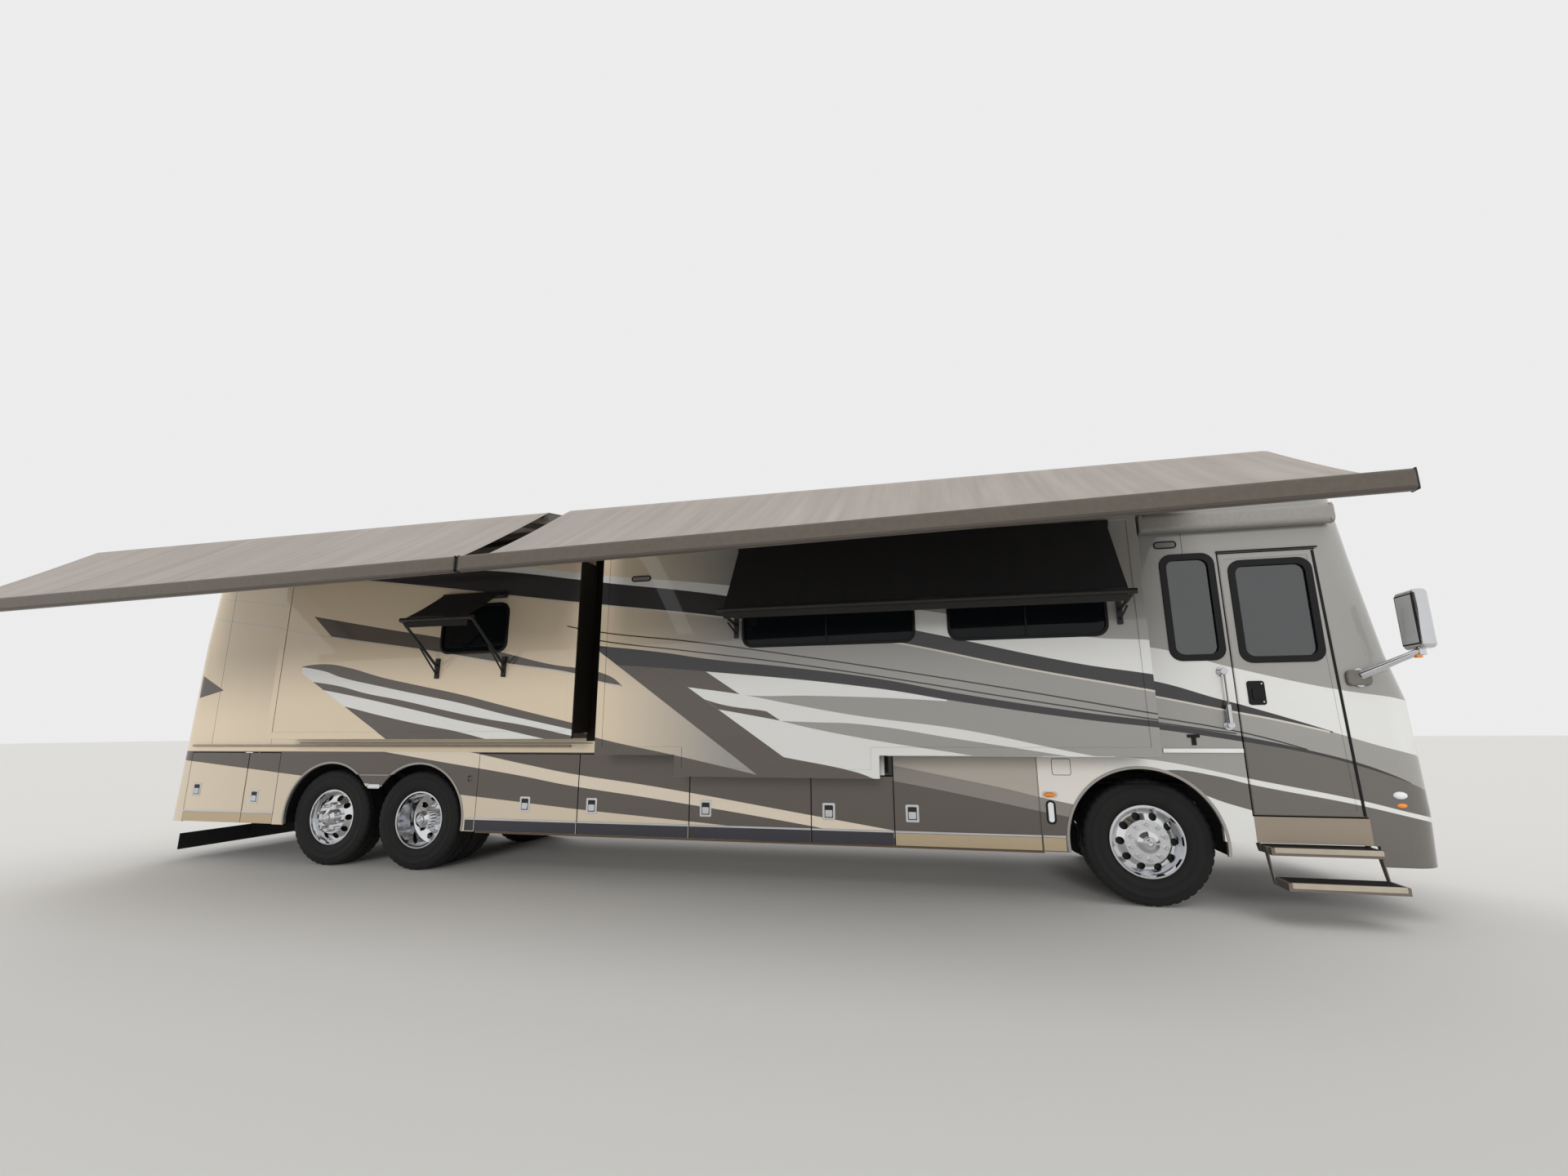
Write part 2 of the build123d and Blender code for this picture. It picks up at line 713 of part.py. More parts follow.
def bulkheads():
    """The walls between the baggage bays, with the fixed leaves of the doors' hinges on their edges."""
    inside = half_width - wall
    walls = []
    bays = bay_doors[2:]
    for index in range(len(bays) + 1):
        x = bays[index][1] if index < len(bays) else bays[-1][2]
        plate = block(x - bulkhead / 2, x + bulkhead / 2, -inside, inside, bay_floor_z, floor_z)
        plate -= step_pan(bulkhead)
        for side in (-1, 1):
            y0, y1 = side * chassis_y - rail_width / 2, side * chassis_y + rail_width / 2
            plate -= block(x - 50, x + 50, y0, y1, chassis_bottom, chassis_top)
            if 0 < index < len(bays):
                plate += bay_hinge_strip(side, x, bay_door_height(bays[index - 1][0], side))
        walls.append(plate)
    return walls


def crossmember(x):
    """A cross tube between the rails' webs."""
    half = chassis_y + rail_width / 2 - rail_wall
    low = front_rail_bottom if x > front_rail_step else chassis_bottom
    return block(x - 40, x + 40, -half, half, low + 40, low + 160)


def channel(side, x0, x1, low, high):
    """A channel rail, open to the middle of the vehicle."""
    outer = side * (chassis_y + rail_width / 2)
    inner = side * (chassis_y - rail_width / 2)
    rail = block(x0, x1, inner, outer, low, high)
    room = block(x0 - 1, x1 + 1, inner - side, outer - side * rail_wall, low + rail_wall, high - rail_wall)
    return rail - room


def chassis_rails():
    """The two channel rails, each with a lower one welded to its front end under the cab."""
    rails = []
    for side in (-1, 1):
        rails.append(channel(side, chassis_rear, front_rail_step, chassis_bottom, chassis_top))
        start = front_rail_step + weld_gap
        rails.append(channel(side, start, chassis_front, front_rail_bottom, front_rail_top))
    return rails


def crossmembers():
    """The crossmembers between the rails, and the hitch bar and receiver hung from their rear ends."""
    return [crossmember(x) for x in crossmember_x] + [hitch_bar(), hitch_receiver()]


def hitch_bar():
    """A crossbar below the frame's end on two drop plates."""
    front = chassis_rear - drop_plate
    half = rail_width / 2
    frame = block(front, chassis_rear, -chassis_y, chassis_y, hitch_bar_low, hitch_bar_low + drop_plate)
    for side in (-1, 1):
        y = side * chassis_y
        frame += block(front, chassis_rear, y - half, y + half, hitch_bar_low, chassis_top)
    return frame


def hitch_receiver():
    """The square receiver tube under the crossbar, with its cross hole for a pin."""
    end = chassis_rear - hitch_reach
    low, high = hitch_z - hitch_half, hitch_z + hitch_half
    receiver = block(end, chassis_rear, -hitch_half, hitch_half, low, high)
    bore = hitch_bore / 2
    receiver -= block(end - 1, chassis_rear - drop_plate, -bore, bore, hitch_z - bore, hitch_z + bore)
    pin_x = end + hitch_pin_inset
    pin_start = (pin_x, -2 * hitch_half, hitch_z)
    return receiver - rod(pin_start, (pin_x, 2 * hitch_half, hitch_z), hitch_pin_radius)


def air_spring(x, y, low, high):
    return Pos(x, y, low) * Cylinder(110, high - low, align=(Align.CENTER, Align.CENTER, Align.MIN))


def axles():
    """The front beam with its kingpin eyes, and the drive and tag axles with arms and air springs."""
    eye = kingpin_y - eye_radius + 5
    front = block(-45, 45, -eye, eye, axle_z - 60, axle_z + 40)
    for side in (-1, 1):
        y = side * kingpin_y
        front += Pos(0, y, axle_z) * Cylinder(eye_radius, 2 * eye_half_height)
        front -= Pos(0, y, axle_z) * Cylinder(kingpin_radius + pin_gap, 3 * eye_half_height)
        front += air_spring(0, side * chassis_y, axle_z + 40, front_rail_bottom)
    axle_list = [front]
    for x, tube, reach, spindle_end in (
        (drive_x, 80, drive_axle_end, drive_spindle_end),
        (tag_x, 60, tag_axle_end, tag_spindle_end),
    ):
        axle = rod((x, -reach, axle_z), (x, reach, axle_z), tube)
        axle += rod((x, -spindle_end, axle_z), (x, spindle_end, axle_z), spindle_radius)
        for side in (-1, 1):
            y = side * chassis_y
            axle += block(x - 330, x + 330, y - 40, y + 40, axle_z + 30, axle_z + 110)
            axle += air_spring(x - 220, y, axle_z + 110, chassis_bottom)
            axle += air_spring(x + 220, y, axle_z + 110, chassis_bottom)
        if x == drive_x:
            axle += Pos(x, 0, axle_z) * Sphere(190)
        axle_list.append(axle)
    return axle_list


def knuckle(side):
    """A steering knuckle: kingpin, yoke round the beam's eye, and the wheel spindle."""
    y = side * kingpin_y
    half = eye_half_height + knuckle_gap
    pin = Pos(0, y, axle_z) * Cylinder(kingpin_radius, 2 * half + 60)
    arm_end = side * (kingpin_y + eye_radius + knuckle_gap + 30)
    arms = block(-42, 42, side * (kingpin_y - 40), arm_end, axle_z + half, axle_z + half + 30)
    arms += block(-42, 42, side * (kingpin_y - 40), arm_end, axle_z - half - 30, axle_z - half)
    web = block(-42, 42, arm_end - side * 30, arm_end, axle_z - half - 30, axle_z + half + 30)
    spindle = rod((0, arm_end, axle_z), (0, side * front_spindle_end, axle_z), spindle_radius)
    return pin + arms + web + spindle


def tyre(x, y):
    """A tyre, seated on the rim's bead seats between its flanges."""
    bead = rim_half_width - rim_lip
    side_wall_half = tyre_width / 2
    half = [
        (bead, bead_radius),
        (bead, rim_radius),
        (side_wall_half, rim_radius + 60),
        (side_wall_half, tyre_radius - tyre_shoulder - 18),
        (side_wall_half - tyre_shoulder + 5, tyre_radius),
    ]
    outline_points = half + [(-out, radius) for out, radius in reversed(half)]
    section = Polygon(*[(y + out, radius) for out, radius in outline_points], align=None)
    return Pos(x, 0, axle_z) * revolve(Plane.YZ * section, Axis.Y)


def ring(side, middle, points):
    """A turned piece about the wheel's axis, from points of (distance outward, radius)."""
    section = Polygon(*[(side * (middle + out), radius) for out, radius in points], align=None)
    return revolve(Plane.YZ * section, Axis.Y)


def rim_barrel(side, middle):
    edge, lip = rim_half_width, rim_half_width - rim_lip
    return ring(side, middle, [
        (-edge, rim_radius),
        (-lip, rim_radius),
        (-lip, bead_radius),
        (lip, bead_radius),
        (lip, rim_radius),
        (edge, rim_radius),
        (edge, rim_radius - 14),
        (lip - 10, bead_radius - 12),
        (-lip + 10, bead_radius - 12),
        (-edge, rim_radius - 14),
    ])


def wheel_disc(side, middle, hub_out, rim_out, cap_out, hub_in):
    """The wheel's disc from the barrel to the hub, with hand holes, wheel nuts and hub cover."""
    disc = ring(side, middle, [
        (rim_out, bead_radius - 6), (rim_out + 14, bead_radius - 6), (hub_out, disc_flat_radius),
        (hub_out, 60), (hub_out - 12, 60), (hub_out - 12, disc_flat_radius),
    ])
    for k in range(stud_count):
        turn = Rot(0, (k + 0.5) * 360 / stud_count, 0)
        start = (0, side * (middle - 400), hand_hole_circle)
        disc -= turn * rod(start, (0, side * (middle + 400), hand_hole_circle), hand_hole_radius)
    hub = ring(side, middle, [
        (hub_in, 0), (cap_out, 0), (cap_out, hub_cap_radius * 0.6), (cap_out - 25, hub_cap_radius),
        (hub_out, hub_cap_radius), (hub_out, 105), (hub_in, 105),
    ])
    wheel = disc + hub
    nut_plane = Plane(origin=(0, side * (middle + hub_out - 1), 0), x_dir=(1, 0, 0), z_dir=(0, side, 0))
    for k in range(stud_count):
        turn = Rot(0, k * 360 / stud_count, 0)
        nut = Pos(0, stud_circle_radius) * RegularPolygon(18, 6)
        wheel += turn * extrude(nut_plane * nut, amount=32)
    return wheel


def wheel(side, x, middle, dished, spindle_end):
    if dished:
        half = dual_spacing / 2
        body = rim_barrel(side, middle) + rim_barrel(side, middle - dual_spacing)
        body += wheel_disc(side, middle, -half + 12, -rim_half_width + 8, 105, -half - 60)
        inner = ring(side, middle - dual_spacing, [
            (rim_half_width - 22, bead_radius - 6), (rim_half_width - 8, bead_radius - 6),
            (half, disc_flat_radius), (half, 100),
            (half - 12, 100), (half - 12, disc_flat_radius),
        ])
        body += inner
    else:
        body = rim_barrel(side, middle) + wheel_disc(side, middle, 128, 50, 200, -20)
    body -= rod((0, 0, 0), (0, side * (spindle_end + 3), 0), spindle_radius + pin_gap)
    return Pos(x, 0, axle_z) * body


def rear_guard():
    """The full-width flap hung below the tail, on two straps from the hitch crossbar."""
    rear = guard_x - guard_thickness
    flap = block(rear, guard_x, -guard_half_width, guard_half_width, guard_bottom, guard_top)
    half = guard_strap / 2
    low, high = hitch_bar_low + 20, hitch_bar_low + 60
    front = chassis_rear - drop_plate - weld_gap
    for side in (-1, 1):
        y = side * guard_strap_y
        flap += block(guard_x, guard_x + guard_thickness, y - half, y + half, guard_top - 120, high)
        flap += block(guard_x, front, y - half, y + half, low, high)
    return flap


def entry_steps():
    """Two treads below the door on side plates hung from the step well."""
    steps = None
    for y_in, y_out, top in step_treads:
        tread = block(step_ends[0], step_ends[1], -y_out, -y_in, top - step_thickness, top)
        steps = tread if steps is None else steps + tread
    for x in (step_ends[0], step_ends[1] - step_plate):
        for points in (step_hanger, step_link):
            plate = Plane.YZ * Polygon(*points, align=None)
            steps += Pos(x, 0, 0) * extrude(plate, amount=step_plate)
    return steps


def mirror(side):
    """A chrome side mirror: foot, two arms and a rounded head."""
    foot_x, foot_y, foot_z = mirror_foot
    head_x, head_y, head_z = mirror_head
    length, width, height = mirror_size
    foot_plane = Plane(origin=(foot_x, side * foot_y, foot_z), z_dir=(0, side, 0))
    piece = extrude(foot_plane * Ellipse(75, 50), amount=mirror_foot_height)
    elbow = (head_x, side * head_y, head_z - height / 2 - 12)
    root = (foot_x + 20, side * (foot_y + mirror_foot_height - 10), foot_z)
    piece += rod(root, elbow, mirror_arm_radius)
    piece += rod(elbow, (head_x, side * head_y, head_z - height / 2 + 20), mirror_arm_radius)
    piece += Pos(*elbow) * Sphere(mirror_arm_radius + 2)
    head = Pos(head_x, side * head_y, head_z) * Box(length, width, height)
    return piece + fillet(head.edges(), mirror_round)


def roof_unit(x):
    """A low roof air conditioner with a tapered shroud."""
    length, width, height = roof_unit_size
    base = Rectangle(length, width)
    top = Pos(0, 0, height) * Rectangle(length - roof_unit_taper, width - roof_unit_taper)
    shroud = loft([base.face(), top.face()], ruled=True)
    upper_edges = shroud.edges().filter_by(lambda e: e.center().Z > 1)
    return Pos(x, 0, roof_top) * fillet(upper_edges, roof_unit_round)


def dashboard():
    """The dash across the cab, the driver's binnacle and the steering wheel on its column."""
    dash = side_prism(Polygon(*dash_section, align=None), -dash_half_width, dash_half_width)
    rear, front, half, low, high = binnacle
    dash += block(rear, front, seat_y - half, seat_y + half, low, high)
    hub = (column_hub[0], seat_y, column_hub[1])
    foot = (column_foot[0], seat_y, column_foot[1])
    dash += rod(foot, hub, column_radius)
    tilt = Plane(origin=hub, z_dir=Vector(*hub) - Vector(*foot))
    dash += tilt * Torus(steering_wheel_radius, steering_grip_radius)
    spoke = Pos(steering_wheel_radius / 2, 0, 0) * Box(steering_wheel_radius, 30, 14)
    for angle in (0, 120, 240):
        dash += tilt * Rot(0, 0, angle) * spoke
    return dash


def cab_seat(x, y):
    """A cab seat on the lower floor: pedestal, cushion and back."""
    base = cab_floor_z + floor_thickness
    parts = []
    for rear, front, half, low, high in (seat_pedestal, seat_cushion, seat_back):
        parts.append(block(x + rear, x + front, y - half, y + half, base + low, base + high))
    pedestal, cushion, back = parts
    return pedestal + fillet(cushion.edges(), seat_round) + fillet(back.edges(), seat_round)


def lamps():
    """Headlamps flush in the front cap and tail lamps flush in the rear cap."""
    front_skin = front_outer - Pos(-lamp_depth, 0, 0) * front_outer
    rear_skin = rear_outer - Pos(lamp_depth, 0, 0) * rear_outer
    pieces = [front_skin & prism for prism in head_lamp_prisms()]
    pieces += [rear_skin & prism for prism in tail_lamp_prisms()]
    return pieces


def nose_prism(y0, y1, z0, z1, radius, x0, length):
    plane = Plane(origin=(x0, 0, 0), x_dir=(0, 1, 0), z_dir=(1, 0, 0))
    sketch = Pos((y0 + y1) / 2, (z0 + z1) / 2) * RectangleRounded(y1 - y0, z1 - z0, radius)
    return extrude(plane * sketch, amount=length)


def head_lamp_prisms():
    y0, y1, z0, z1 = head_lamp
    return [nose_prism(y0, y1, z0, z1, 60, 1700, 700), nose_prism(-y1, -y0, z0, z1, 60, 1700, 700)]


def tail_lamp_prisms():
    y0, y1, z0, z1 = tail_lamp
    return [nose_prism(y0, y1, z0, z1, 60, -11200, 700), nose_prism(-y1, -y0, z0, z1, 60, -11200, 700)]


def build():
    """Every node by name, in the vehicle's own coordinates."""
    right_openings = [
        slide_section(mid_slide, mid_slide_bottom) + step_section(),
        slide_section(rear_slide, rear_slide_bottom),
    ]
    left_openings = [slide_section(left_slide, left_slide_bottom)]
    nodes = {
        "chassis_rails": chassis_rails(),
        "crossmembers": crossmembers(),
        "axles": axles(),
        "engine": [block(*engine_ends, -engine_half_width, engine_half_width, *engine_heights)],
        "floors": floors(),
        "cab_floor": cab_floor(),
        "bulkheads": bulkheads(),
        "roof": [roof()],
        "side_walls": [
            side_wall(-1, right_openings, cab_window),
            side_wall(1, left_openings, driver_window),
        ],
        "lower_panels": lower_panels(),
        "front_cap": [front_cap()],
        "rear_cap": [rear_cap()],
        "coach_glass": coach_glass(),
        "lamps": lamps(),
        "rear_guard": [rear_guard()],
        "awning_hardware": awning_hardware(),
        "awning_fabrics": awning_fabrics(),
        "mirrors": [mirror(-1), mirror(1)],
        "roof_air_conditioners": [roof_unit(x) for x in roof_unit_x],
        "entry_steps": [entry_steps()],
        "dashboard": [dashboard()],
        "cab_seats": [cab_seat(seat_x[0], seat_y), cab_seat(seat_x[1], -seat_y)],
        "entry_door": [entry_door()],
        "entry_door_glass": [pane(door_window, -half_width)],
        "rear_engine_door": [rear_engine_door()],
        "slide_mid": [slide_room(-1, mid_slide, mid_slide_bottom, mid_windows)],
        "slide_mid_skirt": [slide_skirt()],
        "slide_mid_glass": slide_glass(-1, mid_windows),
        "slide_rear": [slide_room(-1, rear_slide, rear_slide_bottom, rear_windows)],
        "slide_rear_glass": slide_glass(-1, rear_windows),
        "slide_left": [slide_room(1, left_slide, left_slide_bottom, left_windows)],
        "slide_left_glass": slide_glass(1, left_windows),
        "window_awning_mid": [window_awning(*window_awnings["mid"])],
        "window_awning_rear": [window_awning(*window_awnings["rear"])],
    }
    for side, word in ((-1, "right"), (1, "left")):
        nodes["knuckle_" + word] = [knuckle(side)]
        front_y, tag_y, drive_y = side * front_tyre_y, side * tag_tyre_y, side * drive_tyre_y
        nodes["tyre_front_" + word] = [tyre(0, front_y)]
        nodes["tyre_tag_" + word] = [tyre(tag_x, tag_y)]
        inner_y = drive_y - side * dual_spacing
        nodes["tyres_drive_" + word] = [tyre(drive_x, drive_y), tyre(drive_x, inner_y)]
        nodes["wheel_front_" + word] = [wheel(side, 0, front_tyre_y, False, front_spindle_end)]
        nodes["wheel_tag_" + word] = [wheel(side, tag_x, tag_tyre_y, False, tag_spindle_end)]
        nodes["wheels_drive_" + word] = [wheel(side, drive_x, drive_tyre_y, True, drive_spindle_end)]
        doors = bay_doors if side < 0 else bay_doors[2:]
        for name, rear, front in doors:
            nodes["bay_door_" + word + "_" + name] = [bay_door(name, rear, front, side)]
    return nodes


def export_all(nodes):
    """Writes each node, moved so that the footprint's middle is the origin."""
    whole = Compound([solid for group in nodes.values() for solid in group]).bounding_box()
    shift = Pos(-(whole.min.X + whole.max.X) / 2, -(whole.min.Y + whole.max.Y) / 2, 0)
    os.makedirs("parts", exist_ok=True)
    for name, group in nodes.items():
        moved = [shift * solid for solid in group]
        export_step(moved[0] if len(moved) == 1 else Compound(moved), f"parts/{name}.step")
    print("moved by", shift.position, "size", whole.size, "nodes", len(nodes))


export_all(build())
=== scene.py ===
from math import copysign, cos, dist, hypot, pi, radians, sin

import bmesh
import bpy
from mathutils import Matrix, Vector


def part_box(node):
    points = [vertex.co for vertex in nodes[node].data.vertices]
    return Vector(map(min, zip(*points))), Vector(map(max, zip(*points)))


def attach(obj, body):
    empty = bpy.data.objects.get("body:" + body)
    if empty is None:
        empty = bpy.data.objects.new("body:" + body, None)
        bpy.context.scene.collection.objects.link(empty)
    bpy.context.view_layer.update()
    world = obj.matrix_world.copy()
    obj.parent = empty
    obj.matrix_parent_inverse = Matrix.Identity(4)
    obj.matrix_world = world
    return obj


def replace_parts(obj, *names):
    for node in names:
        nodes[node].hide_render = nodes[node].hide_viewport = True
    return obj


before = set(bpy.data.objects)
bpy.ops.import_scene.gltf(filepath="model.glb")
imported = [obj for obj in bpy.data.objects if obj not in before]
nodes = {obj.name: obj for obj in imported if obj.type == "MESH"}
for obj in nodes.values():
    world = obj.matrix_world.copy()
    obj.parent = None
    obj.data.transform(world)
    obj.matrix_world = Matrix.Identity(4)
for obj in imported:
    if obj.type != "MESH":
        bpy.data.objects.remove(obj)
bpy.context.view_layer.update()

# The vehicle's own axes: x is 0 at the front axle, y is 0 on the centreline and z is 0 at the ground.
roof_low, roof_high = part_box("roof")
tyre_low, tyre_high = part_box("tyre_front_right")
origin = Vector(((tyre_low.x + tyre_high.x) / 2, (roof_low.y + roof_high.y) / 2, 0))
half_width = (roof_high.y - roof_low.y) / 2
tyre_radius = (tyre_high.z - tyre_low.z) / 2
slide_face = origin.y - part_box("slide_mid")[0].y
kerb = -half_width
sides = ((-1, "right"), (1, "left"))

# Heights and places that more than one piece keeps to
belt = 1.245  # the baggage doors' top seam
room_step = 1.042  # the middle room's lowest edge
rear_room_foot = 1.389
room_top = 3.3
drive_x, tag_x = -7.29, -8.47
fitting_depth = 0.001  # how far a fitting reaches into the face that it sits on


def operator(name, turned=False):
    """A method that adds a Math node; turned is for a number on the operator's left."""

    def method(self, other):
        return self.math(name, other, self) if turned else self.math(name, self, other)

    return method


class Socket:
    """A socket of a material. Operators on it add Math nodes."""

    __add__, __radd__ = operator("ADD"), operator("ADD", True)
    __sub__, __rsub__ = operator("SUBTRACT"), operator("SUBTRACT", True)
    __mul__, __truediv__ = operator("MULTIPLY"), operator("DIVIDE")

    def __init__(self, tree, link):
        self.tree = tree
        self.link = link

    def math(self, operation, *values, clamp=False):
        node = self.tree.nodes.new("ShaderNodeMath")
        node.operation = operation
        node.use_clamp = clamp
        for place, value in enumerate(values):
            if isinstance(value, Socket):
                self.tree.links.new(value.link, node.inputs[place])
            else:
                node.inputs[place].default_value = value
        return Socket(self.tree, node.outputs[0])

    def __abs__(self):
        return self.math("ABSOLUTE", self)

    def sine(self):
        return self.math("SINE", self)

    def step(self, soft=0.003):
        """1 where the value is above 0, 0 where it is below, with an edge that is soft wide."""
        return self.math("MULTIPLY_ADD", self, 1 / soft, 0.5, clamp=True)


def linear(red, green, blue):
    """A colour as it looks, from 0 to 255, in the renderer's linear values."""
    parts = [part / 255 for part in (red, green, blue)]
    return (*(part / 12.92 if part <= 0.04045 else ((part + 0.055) / 1.055) ** 2.4 for part in parts), 1.0)


def scaled(color, factor, lift=0.0):
    """A colour made lighter or darker, never above white."""
    return (*(min(1, part * factor + lift) for part in color[:3]), 1)


materials = {}  # the materials of this script, by the names that it gives them


class Finish:
    """A material built from one Principled shader."""

    def __init__(self, name, color=(0.5, 0.5, 0.5, 1), roughness=0.5, metallic=0.0, **values):
        materials[name] = bpy.data.materials.new(name)
        materials[name].use_nodes = True
        self.tree = materials[name].node_tree
        self.tree.nodes.clear()
        self.output = self.tree.nodes.new("ShaderNodeOutputMaterial")
        self.shader = self.tree.nodes.new("ShaderNodeBsdfPrincipled")
        self.tree.links.new(self.shader.outputs[0], self.output.inputs["Surface"])
        self.set("Base Color", color)
        self.set("Roughness", roughness)
        self.set("Metallic", metallic)
        for key, value in values.items():
            self.set(key.replace("_", " "), value)

    def set(self, socket, value):
        self.plug(self.shader.inputs[socket], value)

    def plug(self, target, value):
        if isinstance(value, Socket):
            self.tree.links.new(value.link, target)
        else:
            target.default_value = value

    def node(self, kind, settings, values, out=0):
        """Any shader node: its settings are set first, then its sockets, by name or number."""
        made = self.tree.nodes.new(kind)
        for key, value in settings.items():
            setattr(made, key, value)
        for key, value in values.items():
            self.plug(made.inputs[key], value)
        return Socket(self.tree, made.outputs[out])

    def split(self, coordinate):
        """The three parts of a texture coordinate."""
        parts = self.tree.nodes.new("ShaderNodeSeparateXYZ")
        self.plug(parts.inputs[0], self.node("ShaderNodeTexCoord", {}, {}, coordinate))
        return [Socket(self.tree, out) for out in parts.outputs]

    def place(self):
        """The x, y and z of a point, in the vehicle's own axes."""
        x, y, z = self.split("Object")
        return x - origin.x, y - origin.y, z

    def facing(self):
        """The x, y and z of the surface's direction, in the vehicle's own axes."""
        return self.split("Normal")

    def mix(self, under, over, mask):
        """One colour over another where the mask is 1."""
        return self.node("ShaderNodeMix", {"data_type": "RGBA"}, {0: mask, 6: under, 7: over}, 2)

    def tint(self, under, over, mask):
        """The base colour, as one colour over another."""
        self.set("Base Color", self.mix(under, over, mask))

    def noise(self, scale, detail=2.0, roughness=0.5, stretch=None):
        spot = self.node("ShaderNodeTexCoord", {}, {}, "Object")
        if stretch:
            spot = self.node("ShaderNodeVectorMath", {"operation": "MULTIPLY"}, {0: spot, 1: stretch})
        values = {"Vector": spot, "Scale": scale, "Detail": detail, "Roughness": roughness}
        return self.node("ShaderNodeTexNoise", {}, values)

    def bump(self, height, distance, strength=1.0):
        values = {"Height": height, "Distance": distance, "Strength": strength}
        self.set("Normal", self.node("ShaderNodeBump", {}, values))

    def curve(self, x, edge):
        """The height at x of an edge in side view."""
        made = self.tree.nodes.new("ShaderNodeFloatCurve")
        line = made.mapping.curves[0]
        places = [((at - side_start) / side_length, height / side_height) for at, height in edge.items()]
        line.points[0].location = places[0]
        line.points[1].location = places[-1]
        for place in places[1:-1]:
            line.points.new(*place)
        made.mapping.update()
        self.plug(made.inputs["Value"], (x - side_start) / side_length)
        return Socket(self.tree, made.outputs[0]) * side_height


# The rectangle in side view that holds every painted edge
side_start, side_length, side_height = -11.2, 13.6, 4.0

# Paint colours
champagne = linear(218, 201, 175)
silver = linear(150, 148, 144)
white = linear(218, 218, 215)
taupe = linear(100, 96, 91)
dark = linear(86, 79, 73)
slate = linear(46, 45, 48)
sweep_light = linear(220, 207, 188)
tail_light = linear(208, 194, 172)
fuel_panel = linear(222, 217, 210)
bay_light = linear(170, 164, 154)
bay_grey = linear(132, 126, 119)
step_panel = linear(142, 130, 114)
pinstripe_dark = linear(48, 45, 43)
pinstripe_light = linear(200, 194, 182)
trim_inside = linear(150, 140, 124)
seam_line = linear(60, 58, 55)
# Black on the rooms' end faces, and painted shade in gaps, on undersides and between the rooms
ends_black_and_shade = linear(6, 6, 6)
room_top_edge = linear(200, 198, 192)

# Edges of the painted bands in side view: the height z at each x, from the rear to the front
upper_sweep_top = {
    -11: 3.42, -8: 3.27, -6.3: 3.15, -4.92: 2.94, -3.66: 2.745, -1.84: 2.333, -0.5: 2.0, 0.17: 1.87,
    0.68: 1.7, 0.78: 1.67, 1.45: 1.435,
}
upper_sweep_low = {
    -11: 3.33, -8.05: 3.14, -6.95: 3.0, -5.8: 2.83, -4.92: 2.706, -3.76: 2.546, -2: 2.225, -1: 1.985,
    0.17: 1.735, 0.75: 1.6, 1.0: 1.545, 1.45: 1.425,
}
white_sweep_top = {
    -11: 3.5, -6.3: 3.22, -4.92: 3.014, -3.62: 2.844, -1.5: 2.46, -0.4: 2.22, 0.17: 2.165, 0.78: 1.975,
    1.55: 1.77, 1.93: 1.7, 2.2: 1.64,
}
white_sweep_low = {**upper_sweep_top, 1.45: 1.43, 1.93: 1.27, 2.2: 1.21}
first_pinstripe = {
    -5.45: 2.54, -4.92: 2.43, -4: 2.31, -3: 2.15, -2: 1.975, -1: 1.788, 0.05: 1.579, 0.75: 1.44,
    1.25: 1.29,
}
second_pinstripe = {
    -5.2: 2.405, -4.92: 2.344, -4: 2.215, -3: 2.07, -2: 1.9, -1: 1.715, 0.05: 1.533, 0.75: 1.42,
}
middle_sweep_top = {
    -5: 2.3, -4.34: 2.22, -3.75: 2.126, -3: 2.034, -2.2: 1.914, -1.5: 1.77, -0.5: 1.598, 0.17: 1.505,
    0.78: 1.4, 1.3: 1.275, 1.6: 1.185, 1.75: 1.125, 1.93: 1.035,
}
middle_sweep_low = {
    -5: 2.12, -3.82: 2.014, -2.2: 1.826, -1.5: 1.7, -0.5: 1.54, 0.17: 1.455, 0.78: 1.355, 1.3: 1.25,
    1.6: 1.16, 1.75: 1.105, 1.93: 1.03,
}
rear_sweep_top = {-8.6: 2.76, -7.5: 2.56, -6.75: 2.43, -6: 2.25, -5.5: 2.13, -4.92: 2.03, -4.68: 1.89}
rear_sweep_low = {
    -11: 2.95, -10.59: 2.88, -10.29: 2.826, -9.75: 2.754, -8.97: 2.62, -8.25: 2.5, -7: 2.315, -6.03: 2.15,
    -5.2: 2.02, -4.92: 1.935, -4.68: 1.89,
}
upper_line = {-11: 3.17, -10.29: 3.1, -9.75: 3.03, -9.48: 2.99, -8.97: 2.93}
tail_wedge_top = {-10.64: 2.17, -10.25: 1.97}
tail_wedge_low = {-10.6: 1.885, -10.25: 1.97}
first_dark_top = {
    -8.62: 2.18, -8.45: 2.2, -8.25: 2.2, -8: 2.16, -7.5: 2.035, -7.1: 1.955, -6.5: 1.838, -6: 1.722,
    -5.5: 1.609, -4.9: 1.48,
}
first_white_top = {
    -8.62: 2.178, -8.25: 2.112, -8.1: 2.062, -7.5: 1.938, -6.9: 1.825, -6.5: 1.75, -6: 1.638, -5.5: 1.537,
    -4.9: 1.42,
}
second_dark_top = {
    -8.44: 2.01, -8.07: 1.956, -7.69: 1.869, -7.25: 1.794, -6.75: 1.694, -6.25: 1.6, -5.75: 1.525,
    -5.2: 1.419, -4.9: 1.36,
}
second_white_top = {
    -8.3: 1.92, -8: 1.869, -7.5: 1.775, -6.9: 1.656, -6.5: 1.575, -6: 1.488, -5.5: 1.39, -4.9: 1.28,
}
third_dark_top = {-8.1: 1.76, -7.975: 1.738, -7.5: 1.638, -7: 1.544, -6.5: 1.462, -6.1: 1.375, -5.2: 1.2}
tip_white_low = {-3.82: 1.86, -3.48: 1.79, -2.8: 1.77, -2.2: 1.745, -1.6: 1.705}
